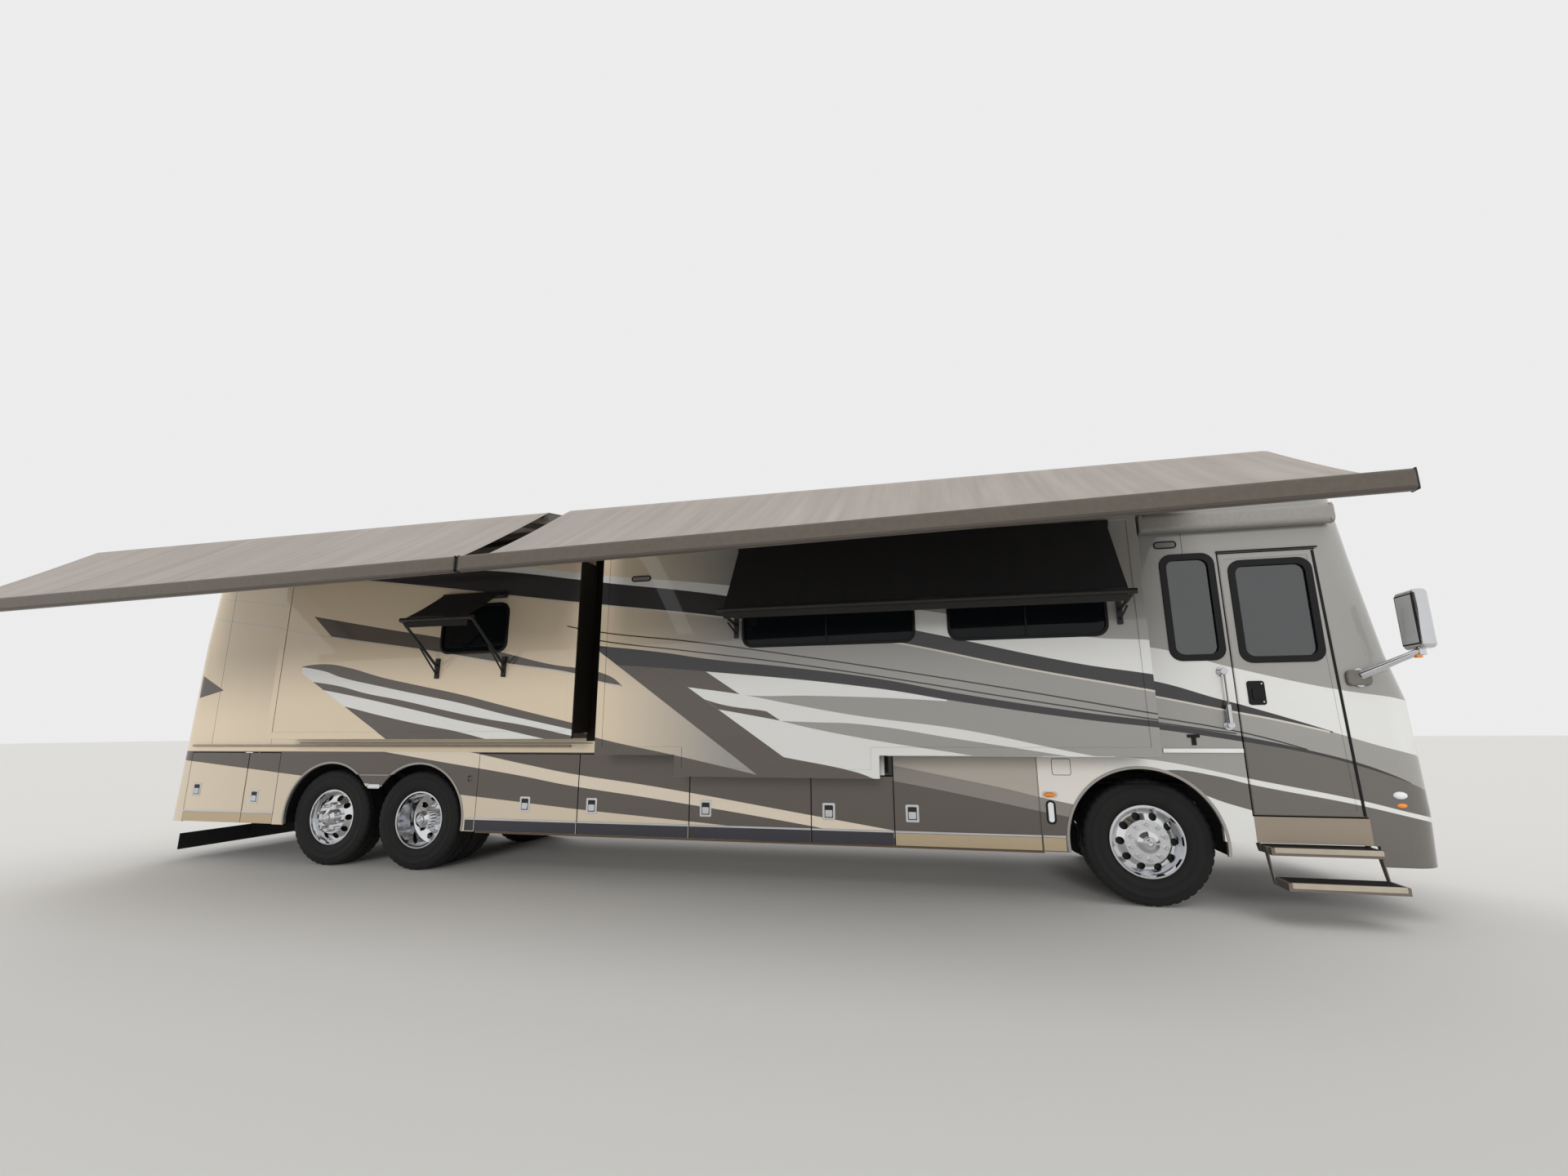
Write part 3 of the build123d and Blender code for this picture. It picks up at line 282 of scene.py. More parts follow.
wedge_top = {-3.82: 1.75, -3.598: 1.69, -3.221: 1.635, -3.08: 1.6}
wedge_low = {-3.82: 1.68, -3.686: 1.657, -3.088: 1.549}
broad_white_top = {
    -4.5: 1.95, -4: 1.87, -3.48: 1.794, -3: 1.7, -2.4: 1.59, -1.5: 1.465, -0.5: 1.256, -0.32: 1.225,
}
broad_white_low = {-4: 1.4, -3.06: 1.226, -2.4: 1.1, -2.19: 1.03, -1.2: 0.9, -0.3: 0.9}
grey_band_top = {-3.08: 1.546, -2.8: 1.534, -2.4: 1.517, -1.5: 1.38, -0.5: 1.22}
grey_band_low = {-3.08: 1.544, -2.8: 1.48, -2.5: 1.42, -2: 1.335, -1.5: 1.26, -1.3: 1.225}
room_foot = {-5: 1.42, -4.93: 1.4, -4.12: 1.24, -3.31: 1.07}
arch_white_top = {
    -0.9: 1.33, -0.2: 1.235, 0.17: 1.19, 0.45: 1.135, 0.78: 1.06, 1.55: 0.9, 1.93: 0.8, 2.2: 0.74,
}
arch_white_low = {
    -0.9: 0.9, -0.4: 0.98, 0.2: 1.12, 0.55: 1.075, 0.78: 1.015, 1.55: 0.86, 1.93: 0.765, 2.2: 0.7,
}
fender_top = {0.2: 1.02, 0.5: 0.9, 0.56: 0.875, 0.76: 0.812, 0.8: 0.8}
tail_light_top = {
    -11: 1.16, -10.57: 1.126, -10: 1.074, -9.51: 1.03, -8.97: 0.98, -7: 0.82, -6: 0.736, -5.34: 0.68,
    -4.5: 0.62, -3.5: 0.548,
}
# A dark line painted along the rear ledge, standing in for its shadow
ledge_shadow_line = {-9: 1.34, -5: 1.34}
low_sweep_top = {-8.4: 1.4, -7: 1.29, -6: 1.124, -5.5: 1.04, -4.5: 0.916, -2.9: 0.679, -2.1: 0.56}
low_sweep_low = {
    -8.4: 1.33, -7: 1.136, -6: 1.0, -5.5: 0.92, -4.5: 0.8, -2.9: 0.583, -2.68: 0.548, -2.1: 0.5,
}
door_dark_top = {-2.12: 1.0, -1.82: 0.948, -1.34: 0.857, -0.855: 0.762, -0.4: 0.68}
door_light_low = {-2.12: 1.14, -1.58: 1.036, -1.1: 0.94, -0.855: 0.881, -0.4: 0.79}

# Straight cuts: what is painted lies on the right of each, going from its first point to its second
long_cut = ((-3.31, 1.07), (-5.8, 2.85))
long_cut_rear = long_cut[::-1]
fan_cut = ((-7.375, 1.39), (-8.62, 2.12))
sweep_tail_cut = ((-8.25, 2.5), (-8.54, 2.75))
tip_white_cut = ((-3.48, 1.794), (-3.82, 2.014))
tip_white_cut_rear = tip_white_cut[::-1]
wedge_cut = ((-3.221, 1.635), (-3.088, 1.549))
broad_white_cut = ((-3.06, 1.226), (-4.0, 1.87))
broad_white_cut_rear = broad_white_cut[::-1]


def band(color, top, low, start, end, *cuts, above=0, below=4):
    """A painted band: its two edges, its ends along x, its cuts, and its limits in height."""
    return color, top, low, start, end, cuts, above, below


# What is painted over what, in this order; the fan of stripes on the rear room stops at the belt
fan = {"above": belt}
upper_bands = [
    band(silver, middle_sweep_top, None, -5.2, 2.4, long_cut),
    band(dark, rear_sweep_top, rear_sweep_low, -8.54, -4.68, sweep_tail_cut, long_cut_rear),
    band(dark, tail_wedge_top, tail_wedge_low, -10.62, -10.25),
    band(dark, first_dark_top, first_white_top, -8.62, -4.96, long_cut_rear, **fan),
    band(white, first_white_top, second_dark_top, -8.6, -4.96, fan_cut, long_cut_rear, **fan),
    band(dark, second_dark_top, second_white_top, -8.6, -4.96, fan_cut, long_cut_rear, **fan),
    band(white, second_white_top, third_dark_top, -8.6, -4.96, fan_cut, long_cut_rear, **fan),
    band(dark, third_dark_top, None, -8.6, -5.1, fan_cut, **fan),
    band(dark, middle_sweep_top, None, -5.2, -3.0, long_cut, broad_white_cut_rear, above=room_step),
    band(dark, middle_sweep_low, broad_white_top, -4.5, -3.48, broad_white_cut, tip_white_cut_rear),
    band(white, middle_sweep_low, tip_white_low, -3.82, -1.6, tip_white_cut),
    band(white, broad_white_top, broad_white_low, -4.0, -0.32, broad_white_cut, above=room_step),
    band(silver, grey_band_top, grey_band_low, -3.08, -0.5),
    band(dark, wedge_top, wedge_low, -3.85, -3.05, broad_white_cut, wedge_cut),
    band(dark, room_foot, None, -5.2, -3.25, long_cut_rear, above=room_step),
    band(dark, broad_white_low, None, -3.5, -2.19, long_cut, above=room_step),
    band(slate, middle_sweep_top, middle_sweep_low, -5.2, 1.93, long_cut),
    band(white, white_sweep_top, white_sweep_low, -10.9, 2.4),
    band(slate, upper_sweep_top, upper_sweep_low, -10.9, 1.45),
    band(taupe, middle_sweep_low, None, 0.79, 2.4),
    band(taupe, arch_white_low, None, 0.2, 0.79),
    band(white, arch_white_top, arch_white_low, -0.86, 2.3, below=1.235),
    band(white, fender_top, None, 0.2, 0.79),
    band(champagne, None, None, -8.97, -4.95, above=belt, below=rear_room_foot),
]
lower_bands = [
    band(dark, None, None, -11, -2.12, below=belt),
    band(tail_light, tail_light_top, None, -11, -3.5, below=belt),
    band(sweep_light, low_sweep_top, low_sweep_low, -8.4, -2.1, below=belt),
    band(bay_grey, None, door_dark_top, -2.13, -0.3, below=belt),
    band(bay_light, None, door_light_low, -2.13, -0.855, below=belt),
    band(fuel_panel, None, door_light_low, -0.855, -0.3, below=belt),
    band(dark, door_dark_top, None, -2.13, -0.3, below=belt),
    # Painted shade: a black patch in the notch at the rear seam of the frontmost baggage door
    band(ends_black_and_shade, None, None, -2.2, -2.13, above=1.045, below=1.225),
]
# Fine lines: colour, line, half width, from x, to x, cuts
fine_lines = [
    # The first line is painted shade along the rear ledge
    (seam_line, ledge_shadow_line, 0.004, -8.97, -5.2, ()),
    (pinstripe_light, rear_sweep_low, 0.008, -11, -4.7, (long_cut_rear,)),
    (pinstripe_light, upper_line, 0.007, -11, -8.98, ()),
    (pinstripe_light, upper_sweep_low, 0.008, -8, 1.43, ()),
    (pinstripe_dark, first_pinstripe, 0.006, -5.45, 1.25, (long_cut,)),
    (pinstripe_dark, second_pinstripe, 0.006, -5.2, 0.75, (long_cut,)),
]
# Seams between moulded panels: x and lowest z; all end under the roof's edge
panel_seams = ((-10.3, 1.3), (-9.4, 1.3), (0.52, 2.98))


def right_of(x, z, start, end):
    """1 on the right of a straight line from start to end, in side view."""
    (x0, z0), (x1, z1) = start, end
    length = hypot(x1 - x0, z1 - z0)
    across = (x - x0) * ((z1 - z0) / length) - (z - z0) * ((x1 - x0) / length)
    return across.step()


def along(x, start, end):
    return (x - start).step() * (end - x).step()


def paint_bands(finish, x, z):
    """The body colours in side view: champagne to silver, with white, taupe, slate and dark bands."""
    fade = finish.node("ShaderNodeMapRange", {}, {"Value": x, "From Min": -4.9, "From Max": -3.6})
    color = finish.mix(champagne, silver, fade)

    def lay(over, mask, cuts):
        nonlocal color
        for cut in cuts:
            mask = mask * right_of(x, z, *cut)
        color = finish.mix(color, over, mask)

    def lay_bands(bands, region):
        for over, top, low, start, end, cuts, above, below in bands:
            mask = along(x, start, end) * region
            if top:
                mask = mask * (finish.curve(x, top) - z).step()
            if low:
                mask = mask * (z - finish.curve(x, low)).step()
            if above > 0:
                mask = mask * (z - above).step()
            if below < side_height:
                mask = mask * (below - z).step()
            lay(over, mask, cuts)

    lay_bands(upper_bands, 1)
    for over, line, half, start, end, cuts in fine_lines:
        lay(over, (half - abs(z - finish.curve(x, line))).step() * along(x, start, end), cuts)
    under_room = 1 - along(x, -4.12, -2.2) * (z - room_step).step()
    lay_bands(lower_bands, under_room)
    return color


def flaked(finish, color):
    """A fine metallic flake over a colour."""
    flake = (finish.noise(900, 0.0) - 0.62).step(0.2)
    return finish.mix(color, linear(120, 112, 100), flake * 0.12)


def inner_face(y, ny):
    """1 on the side faces that look inwards."""
    return (0 - y * ny - 0.02).step(0.05)


clear_coat = {"Coat_Weight": 1.0, "Coat_Roughness": 0.03, "Specular_IOR_Level": 0.15}


def body_paint():
    """Metallic paint in its bands under a clear coat, with trim colour on the inside faces and black painted
    shade in gaps, underneath and between the rooms.
    """
    finish = Finish("body_paint", roughness=0.36, metallic=0.05, **clear_coat)
    x, y, z = finish.place()
    nx, ny, nz = finish.facing()
    color = paint_bands(finish, x, z)
    for seam_x, seam_foot in panel_seams:
        line = (0.0025 - abs(x - seam_x)).step(0.002) * (z - seam_foot).step() * (3.45 - z).step()
        color = finish.mix(color, seam_line, line)
    below_door = along(x, 0.79, 1.6) * (0.765 - z).step() * (0 - y).step()
    color = finish.mix(color, step_panel, below_door)
    # Painted shade: the wall between the two kerb-side rooms is black, with no coat
    shade_between_rooms = along(x, -5.28, -5.1) * (z - 1.36).step() * (room_top - z).step() * (0 - y).step()
    color = finish.mix(color, ends_black_and_shade, shade_between_rooms)
    color = flaked(finish, finish.mix(color, silver, (z - 3.36).step(0.02)))
    # Painted shade: below the belt, the side faces of the gaps between panels and the faces that look down
    # are black, with no coat
    ends = (abs(nx) - 0.7).step(0.05) * along(x, -10.6, -0.8) + (0 - nz - 0.7).step(0.05)
    ends = ends * (belt + 0.02 - z).step()
    color = finish.mix(color, ends_black_and_shade, ends)
    inside = inner_face(y, ny)
    finish.tint(color, trim_inside, inside)
    finish.set("Coat Weight", (1 - inside) * (1 - ends) * (1 - shade_between_rooms))


def room_paint():
    """The slide-out rooms' paint: the bands on the face, black on the ends that run in the wall."""
    finish = Finish("room_paint", roughness=0.36, metallic=0.05, **clear_coat)
    x, y, z = finish.place()
    nx, ny, nz = finish.facing()
    color = flaked(finish, paint_bands(finish, x, z))
    ends = (abs(nx) - 0.7).step(0.05)
    color = finish.mix(color, ends_black_and_shade, ends)
    color = finish.mix(color, room_top_edge, (abs(nz) - 0.7).step(0.05))
    inside = inner_face(y, ny)
    finish.tint(color, trim_inside, inside)
    finish.set("Coat Weight", (1 - inside) * (1 - ends))
    finish.set("Roughness", ends * 0.5 + 0.32)


def plain(name, color, roughness, metallic=0.0, grain=0.0, scale=60, **values):
    """A finish with slight variation in tone and a fine surface."""
    finish = Finish(name, roughness=roughness, metallic=metallic, **values)
    cloud = finish.noise(scale, 3.0)
    finish.tint(scaled(color, 0.85), scaled(color, 1.15, 0.002), cloud)
    finish.set("Roughness", roughness * 0.85 + cloud * (roughness * 0.3))
    if grain:
        finish.bump(finish.noise(scale * 8, 2.0), grain)


def woven(name, color, thread, sheen=0.3):
    """Woven cloth: two sets of threads with slight variation in tone."""
    finish = Finish(name, roughness=0.85, Sheen_Weight=sheen, Sheen_Roughness=0.5)
    x, y, z = finish.place()
    pitch = 2 * pi / thread
    cloud = finish.noise(0.8, 3.0, 0.5)
    streaks = finish.noise(5, 3.0, 0.6, (2.4, 0.1, 0.1))
    mask = (cloud * 0.3 + streaks * 0.7 - 0.5) * 1.2 + 0.5
    finish.tint(scaled(color, 0.62), scaled(color, 1.5), mask)
    finish.bump((x * pitch).sine() * 0.5 + ((y + z) * pitch).sine() * 0.5, 0.0004, 0.6)


def awning_paint():
    """The patio awnings' brown-grey metal, and the entry awning's silver case."""
    finish = Finish("awning_metal", roughness=0.42, metallic=0.1)
    x, y, z = finish.place()
    cloud = finish.noise(30, 3.0)
    brown = finish.mix(linear(80, 73, 66), linear(96, 88, 80), cloud)
    case = finish.mix(linear(134, 131, 126), linear(152, 149, 144), cloud)
    entry = (x - 0.1).step() * (3.4 - z).step() * (y + 1.5).step()
    finish.tint(brown, case, entry)
    finish.bump(finish.noise(240, 2.0), 0.0002)


def tinted_glass(name, through, ior, least):
    """Glass that lets light through and mirrors the rest; least is the share of glass seen square on."""
    finish = Finish(name, linear(30, 35, 38), 0.02, IOR=ior)
    clear = finish.node("ShaderNodeBsdfTransparent", {}, {0: through})
    fresnel = finish.node("ShaderNodeLayerWeight", {}, {"Blend": 0.35}, "Fresnel")
    body = Socket(finish.tree, finish.shader.outputs[0])
    blend = finish.node("ShaderNodeMixShader", {}, {0: least + fresnel * (1 - least), 1: clear, 2: body})
    finish.plug(finish.output.inputs["Surface"], blend)


def tyre_rubber():
    finish = Finish("tyre_rubber", roughness=0.7)
    finish.tint(linear(9, 9, 10), linear(21, 20, 20), finish.noise(9, 4.0))
    finish.bump(finish.noise(220, 2.0), 0.0006)


def lens(name, color):
    """A clear or coloured lamp lens over fine ribs."""
    finish = Finish(name, color, 0.06, 0.0, Coat_Weight=1.0, Coat_Roughness=0.02)
    finish.bump((finish.place()[0] * 900).sine(), 0.0006, 0.5)


def lamp_cluster():
    """Headlamps with round reflectors at the front; red, amber and clear bands at the rear."""
    finish = Finish("lamp_cluster", roughness=0.08, Coat_Weight=1.0, Coat_Roughness=0.01)
    x, y, z = finish.place()
    color = finish.mix(linear(96, 98, 100), linear(120, 122, 124), finish.noise(30, 2.0))
    size = 0.085
    for centre in (0.72, 0.94):
        spot = finish.node("ShaderNodeCombineXYZ", {}, {0: abs(y) - centre, 1: z - 1.04})
        away = finish.node("ShaderNodeVectorMath", {"operation": "LENGTH"}, {0: spot}, "Value")
        color = finish.mix(color, linear(236, 238, 240), (size - away).step())
        color = finish.mix(color, linear(70, 74, 80), (size * 0.72 - away).step())
        color = finish.mix(color, linear(246, 247, 250), (size * 0.45 - away).step(0.02))
    red = finish.mix(linear(150, 12, 10), linear(190, 22, 16), finish.noise(40, 2.0))
    red = finish.mix(red, linear(226, 120, 20), (1.14 - z).step())
    red = finish.mix(red, linear(230, 230, 232), (1.06 - z).step())
    finish.tint(color, red, (0 - x - 5).step())
    finish.bump(((y + z) * 500).sine(), 0.0005, 0.4)


def sill_polish():
    """The polished sill strips, with painted light: a warm painted reflection of the ground at the tail and
    on the front doors, painted shade between.
    """
    finish = Finish("sill_metal", roughness=0.22, metallic=1.0)
    x = finish.place()[0]
    # Painted shade for the middle, a painted warm reflection for the ends
    painted_shade = finish.mix((0.08, 0.08, 0.095, 1), (0.09, 0.09, 0.105, 1), finish.noise(3, 3.0))
    finish.tint(linear(205, 186, 158), painted_shade, along(x, -9.0, -2.13))


body_paint()
room_paint()
awning_paint()
sill_polish()
tyre_rubber()
lamp_cluster()
woven("awning_cloth", linear(147, 137, 129), 0.006)
woven("black_cloth", linear(24, 23, 25), 0.004, 0.0)
tinted_glass("cab_glass", linear(190, 198, 196), 2.5, 0.6)
tinted_glass("room_glass", linear(60, 68, 72), 1.5, 0.35)
lens("clear_lens", linear(226, 228, 230))
lens("smoked_lens", linear(118, 113, 108))
lens("amber_lens", linear(236, 140, 30))
plain("bright", (0.66, 0.67, 0.69), 0.08, 1.0, 0.0, 4)
plain("polished", (0.74, 0.75, 0.77), 0.1, 1.0, 0.0, 3)
plain("looking_glass", (0.75, 0.77, 0.8), 0.03, 1.0, 0.0, 2)
plain("gloss_black", linear(7, 7, 8), 0.3, 0.0, 0.0, 20, Specular_IOR_Level=0.3)
# Name, colour, roughness, metallic, depth of the grain, scale of the variation
for name, color, *values in (
    ("black_steel", (34, 33, 32), 0.42, 0.2, 0.0003),
    ("chassis_black", (30, 30, 30), 0.6, 0.2, 0.0006, 12),
    ("axle_iron", (46, 44, 42), 0.65, 0.3, 0.001, 14),
    ("engine_iron", (70, 70, 70), 0.6, 0.4, 0.001, 10),
    ("floor_board", (96, 78, 60), 0.6, 0.0, 0.0004, 8),
    ("rubber", (20, 20, 20), 0.75, 0.0, 0.0005, 40),
    ("roof_plastic", (214, 213, 208), 0.45, 0.0, 0.0002, 20),
    ("dash_plastic", (52, 46, 42), 0.55, 0.0, 0.0006),
    ("leather", (132, 112, 90), 0.45, 0.0, 0.0012, 30),
    ("step_metal", (112, 104, 96), 0.5, 0.2, 0.0006, 40),
    ("lip_metal", (156, 152, 146), 0.35, 0.4, 0.0, 6),
    ("trim_metal", (150, 140, 122), 0.3, 0.2, 0.0, 6),
    ("white_trim", (222, 222, 220), 0.3, 0.0, 0.0, 6),
    ("liner_black", (16, 16, 16), 0.8, 0.0, 0.0, 10),
    ("mirror_foot", (104, 100, 94), 0.4, 0.0, 0.0, 10),
    ("vent_grey", (120, 118, 114), 0.5, 0.0, 0.0, 10),
    ("nosing_tan", (176, 166, 150), 0.5, 0.1, 0.0, 10),
    ("rail_dark", (70, 62, 56), 0.5, 0.1, 0.0, 8),
):
    plain(name, linear(*color), *values)

# The slot of each finish, as a table; nothing here assigns slots to the pieces
slots = {
    "body_paint": "body_paint room_paint trim_metal white_trim mirror_foot",
    "steel_black": "black_steel gloss_black nosing_tan",
    "bright_metal": "bright sill_metal lip_metal looking_glass",
    "lamp_plastic": "clear_lens smoked_lens amber_lens",
    "guard_rubber": "rubber liner_black",
    "awning_metal": "awning_metal rail_dark",
    "awning_cloth": "awning_cloth black_cloth",
    "roof_plastic": "vent_grey",
    "seat_leather": "leather",
    "tyre_rubber": "tyre_rubber",
    "axle_iron": "axle_iron",
}
slot_of = {finish: slot for slot, finishes in slots.items() for finish in finishes.split()}

# The finish of each of the part's own nodes
dressing = {
    "chassis_black": "chassis_rails crossmembers",
    "axle_iron": "axles knuckle_right knuckle_left",
    "engine_iron": "engine",
    "floor_board": "floors cab_floor",
    "liner_black": "bulkheads",
    "body_paint": "roof side_walls lower_panels front_cap rear_cap entry_door rear_engine_door",
    "room_paint": "slide_mid slide_mid_skirt slide_rear slide_left",
    "cab_glass": "coach_glass entry_door_glass",
    "room_glass": "slide_mid_glass slide_rear_glass slide_left_glass",
    "lamp_cluster": "lamps",
    "rubber": "rear_guard",
    "awning_metal": "awning_hardware",
    "bright": "mirrors",
    "roof_plastic": "roof_air_conditioners",
    "step_metal": "entry_steps",
    "dash_plastic": "dashboard",
}


def dress(finish, names):
    for name in names:
        worn = nodes[name].data.materials
        worn.clear()
        worn.append(materials[finish])


for finish, names in dressing.items():
    dress(finish, names.split())
dress("body_paint", [name for name in nodes if name.startswith("bay_door")])
dress("polished", [name for name in nodes if name.startswith("wheel")])


def added(name, data):
    """A new object in the scene."""
    made = bpy.data.objects.new(name, data)
    bpy.context.scene.collection.objects.link(made)
    return made


def turn(sides):
    """The angles of as many points round a circle."""
    return [2 * pi * n / sides for n in range(sides)]


class Shape:
    """A mesh in the making, in the vehicle's own axes."""

    def __init__(self):
        self.mesh = bmesh.new()

    def skin(self, loops, closed=True, capped=False):
        """Faces between neighbouring loops of points; closed joins each loop's ends."""
        rows = [[self.mesh.verts.new(point) for point in loop] for loop in loops]
        count = len(rows[0])
        for row, following in zip(rows, rows[1:]):
            for k in range(count if closed else count - 1):
                nxt = (k + 1) % count
                self.mesh.faces.new((row[k], row[nxt], following[nxt], following[k]))
        if capped:
            self.mesh.faces.new(rows[0][::-1])
            self.mesh.faces.new(rows[-1])
        return self

    def block(self, x0, x1, y0, y1, z0, z1):
        base = [(x0, y0), (x1, y0), (x1, y1), (x0, y1)]
        return self.skin([[(x, y, z) for x, y in base] for z in (z0, z1)], capped=True)

    def plate(self, outline, y0, y1):
        """A side-view outline of (x, z) made solid between two distances from the middle."""
        return self.skin([[(x, y, z) for x, z in outline] for y in (y0, y1)], capped=True)

    def border(self, outer, inner, y0, y1, closed=True):
        """The solid between two side-view outlines with as many points."""
        corners = ((outer, y0), (outer, y1), (inner, y1), (inner, y0), (outer, y0))
        return self.skin([[(x, y, z) for x, z in outline] for outline, y in corners], closed)

    def tube(self, points, radius, sides=14):
        """A round bar along a line of points, with flat ends."""
        points = [Vector(point) for point in points]
        up = Vector((0.13, 0.21, 0.97))
        loops = []
        for k, point in enumerate(points):
            ahead = (points[min(k + 1, len(points) - 1)] - points[max(k - 1, 0)]).normalized()
            across = ahead.cross(up).normalized()
            lift = across.cross(ahead)
            loops.append([point + (across * cos(t) + lift * sin(t)) * radius for t in turn(sides)])
        return self.skin(loops, capped=True)

    def pin(self, x, z, y0, y1, radius, sides=14):
        """A round bar across the vehicle."""
        return self.tube([(x, y0, z), (x, y1, z)], radius, sides)

    def turned(self, profile, centre, sides, notch=None):
        """A profile of (y outward, radius) turned about the wheel's axis through centre."""
        cx, cy, cz = centre
        loops = []
        for n, t in enumerate(turn(sides)):
            loop = []
            for k, (out, radius) in enumerate(profile):
                r = radius - (notch(n, k) if notch else 0)
                loop.append((cx + r * sin(t), cy + out, cz + r * cos(t)))
            loops.append(loop)
        return self.skin([*loops, loops[0]], closed=False)

    def dome(self, centre, radii, sides=24, rings=8):
        """A half ball with radii along x, y and z, bulging towards -y."""
        cx, cy, cz = centre
        rx, ry, rz = radii
        loops = []
        for k in range(rings):
            t = pi / 2 * k / rings
            wide, high, y = rx * cos(t), rz * cos(t), cy - ry * sin(t)
            loops.append([(cx + wide * cos(u), y, cz + high * sin(u)) for u in turn(sides)])
        return self.skin(loops, capped=True)

    def done(self, name, finish, bevel=0.0, body="coach", smooth=38, slot=None):
        """The finished piece, moved to where the vehicle stands, riding on its body."""
        bmesh.ops.remove_doubles(self.mesh, verts=self.mesh.verts, dist=1e-6)
        bmesh.ops.recalc_face_normals(self.mesh, faces=self.mesh.faces)
        bmesh.ops.translate(self.mesh, verts=self.mesh.verts, vec=origin)
        data = bpy.data.meshes.new(name)
        self.mesh.to_mesh(data)
        self.mesh.free()
        data.shade_smooth()
        data.set_sharp_from_angle(angle=radians(smooth))
        data.materials.append(materials[finish])
        made = added(name, data)
        if bevel:
            edges = made.modifiers.new("bevel", "BEVEL")
            edges.width = bevel
            edges.segments = 2
            edges.limit_method = "ANGLE"
        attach(made, body)
        return made


def arc(cx, cz, radius, start, end, steps):
    """Points of an arc in side view, angles in degrees from +x towards +z."""
    angles = [radians(start + (end - start) * k / steps) for k in range(steps + 1)]
    return [(cx + radius * cos(t), cz + radius * sin(t)) for t in angles]


def rounded(x0, x1, z0, z1, radius, steps=6, inset=0.0):
    """The points of a rounded rectangle in side view, set in from the given edges."""
    margin = inset + radius
    rear, front, low, high = x0 + margin, x1 - margin, z0 + margin, z1 - margin
    points = []
    for quarter, (cx, cz) in enumerate(((front, high), (rear, high), (rear, low), (front, low))):
        points += arc(cx, cz, radius, 90 * quarter, 90 * quarter + 90, steps)
    return points


def raised(y, outline, out, hole=None, back=fitting_depth):
    """A plate that stands out from the side face at y; with a hole's outline it is a ring."""
    away = copysign(1, y)
    span = (y + away * out, y - away * back)
    return Shape().border(outline, hole, *span) if hole else Shape().plate(outline, *span)


# Windows: name, side, x0, x1, z0, z1, body
windows = [
    ("cab_window", -1, 0.33, 0.747, 2.05, 2.98, "coach"),
    ("driver_window", 1, 0.42, 1.4, 2.05, 2.98, "coach"),
    ("door_window", -1, 0.87, 1.486, 2.02, 2.895, "entry_door"),
    ("mid_window_rear", -1, -3.45, -1.856, 2.24, 2.95, "mid_slide"),
    ("mid_window_front", -1, -1.55, -0.258, 2.24, 2.95, "mid_slide"),
    ("rear_window", -1, -6.81, -6.02, 2.28, 2.78, "rear_slide"),
    ("left_window_rear", 1, -8.3, -7.5, 2.28, 2.95, "left_slide"),
    ("left_window_middle", 1, -6.0, -4.4, 2.24, 2.95, "left_slide"),
    ("left_window_front", 1, -2.6, -1.0, 2.24, 2.95, "left_slide"),
]
window_radius = 0.09
frame_lap = 0.014  # how far a window's frame reaches past its glass
cab_frame_inner, room_frame_inner = 0.043, 0.012
frame_proud, frame_back = 0.009, 0.003
sliding_width = 1.2  # windows wider than this have two panes


def window_frames():
    """Black frames on every window, and the posts between sliding panes."""
    for name, side, x0, x1, z0, z1, body in windows:
        face, rim = (slide_face, room_frame_inner) if "slide" in body else (half_width, cab_frame_inner)
        outer = rounded(x0, x1, z0, z1, window_radius + frame_lap, inset=-frame_lap)
        inner = rounded(x0, x1, z0, z1, window_radius - rim / 2, inset=rim)
        shape = raised(side * face, outer, frame_proud, inner, frame_back)
        if x1 - x0 > sliding_width:
            middle = (x0 + x1) / 2
            y0, y1 = side * (face + 0.002), side * (face - frame_back)
            shape.block(middle - 0.007, middle + 0.007, y0, y1, z0, z1)
        shape.done(name + "_frame", "gloss_black", 0.003, body, slot="tinted_glass")


def latch(name, body, side, x, z):
    """A chrome paddle latch: a plate with a dark pocket and the paddle in it."""
    y = side * half_width
    plate = rounded(x, x + 0.12, z, z + 0.155, 0.012, 3)
    pocket = rounded(x + 0.02, x + 0.1, z + 0.022, z + 0.133, 0.008, 3)
    paddle = rounded(x + 0.026, x + 0.094, z + 0.028, z + 0.092, 0.008, 3)
    raised(y, plate, 0.005, pocket).done(name + "_plate", "bright", 0.0015, body)
    raised(y, pocket, 0.0012).done(name + "_pocket", "black_steel", body=body)
    raised(y, paddle, 0.008, back=0).done(name + "_paddle", "bright", 0.002, body)


def sill(name, spans, side, body="coach"):
    """A polished strip along the foot of the panels, with a bead on top, over some spans of x."""
    y = side * half_width
    for part, finish, out, low, high, bevel in (
        ("strip", "sill_metal", 0.003, 0.437, 0.545, 0.0015),
        ("bead", "bright", 0.007, 0.546, 0.565, 0.002),
    ):
        shape = Shape()
        for x0, x1 in spans:
            shape.block(x0, x1, *sorted((y, y + side * out)), low, high)
        shape.done(f"sill_{part}_{name}", finish, bevel, body)


seam = 0.006  # how far a sill stops short of its door's seams
# Baggage doors from the rear: rear seam, front seam, then the kerb-side latch's rear edge and foot
doors = [
    (-10.57, -9.687, -10.47, 0.722),
    (-9.687, -9.223, -9.59, 0.652),
    (-6.544, -5.341, -6.01, 0.64),
    (-5.341, -4.121, -5.24, 0.64),
    (-4.121, -2.899, -4.01, 0.64),
    (-2.899, -2.124, -2.79, 0.64),
    (-2.124, -0.856, -2.02, 0.64),
]


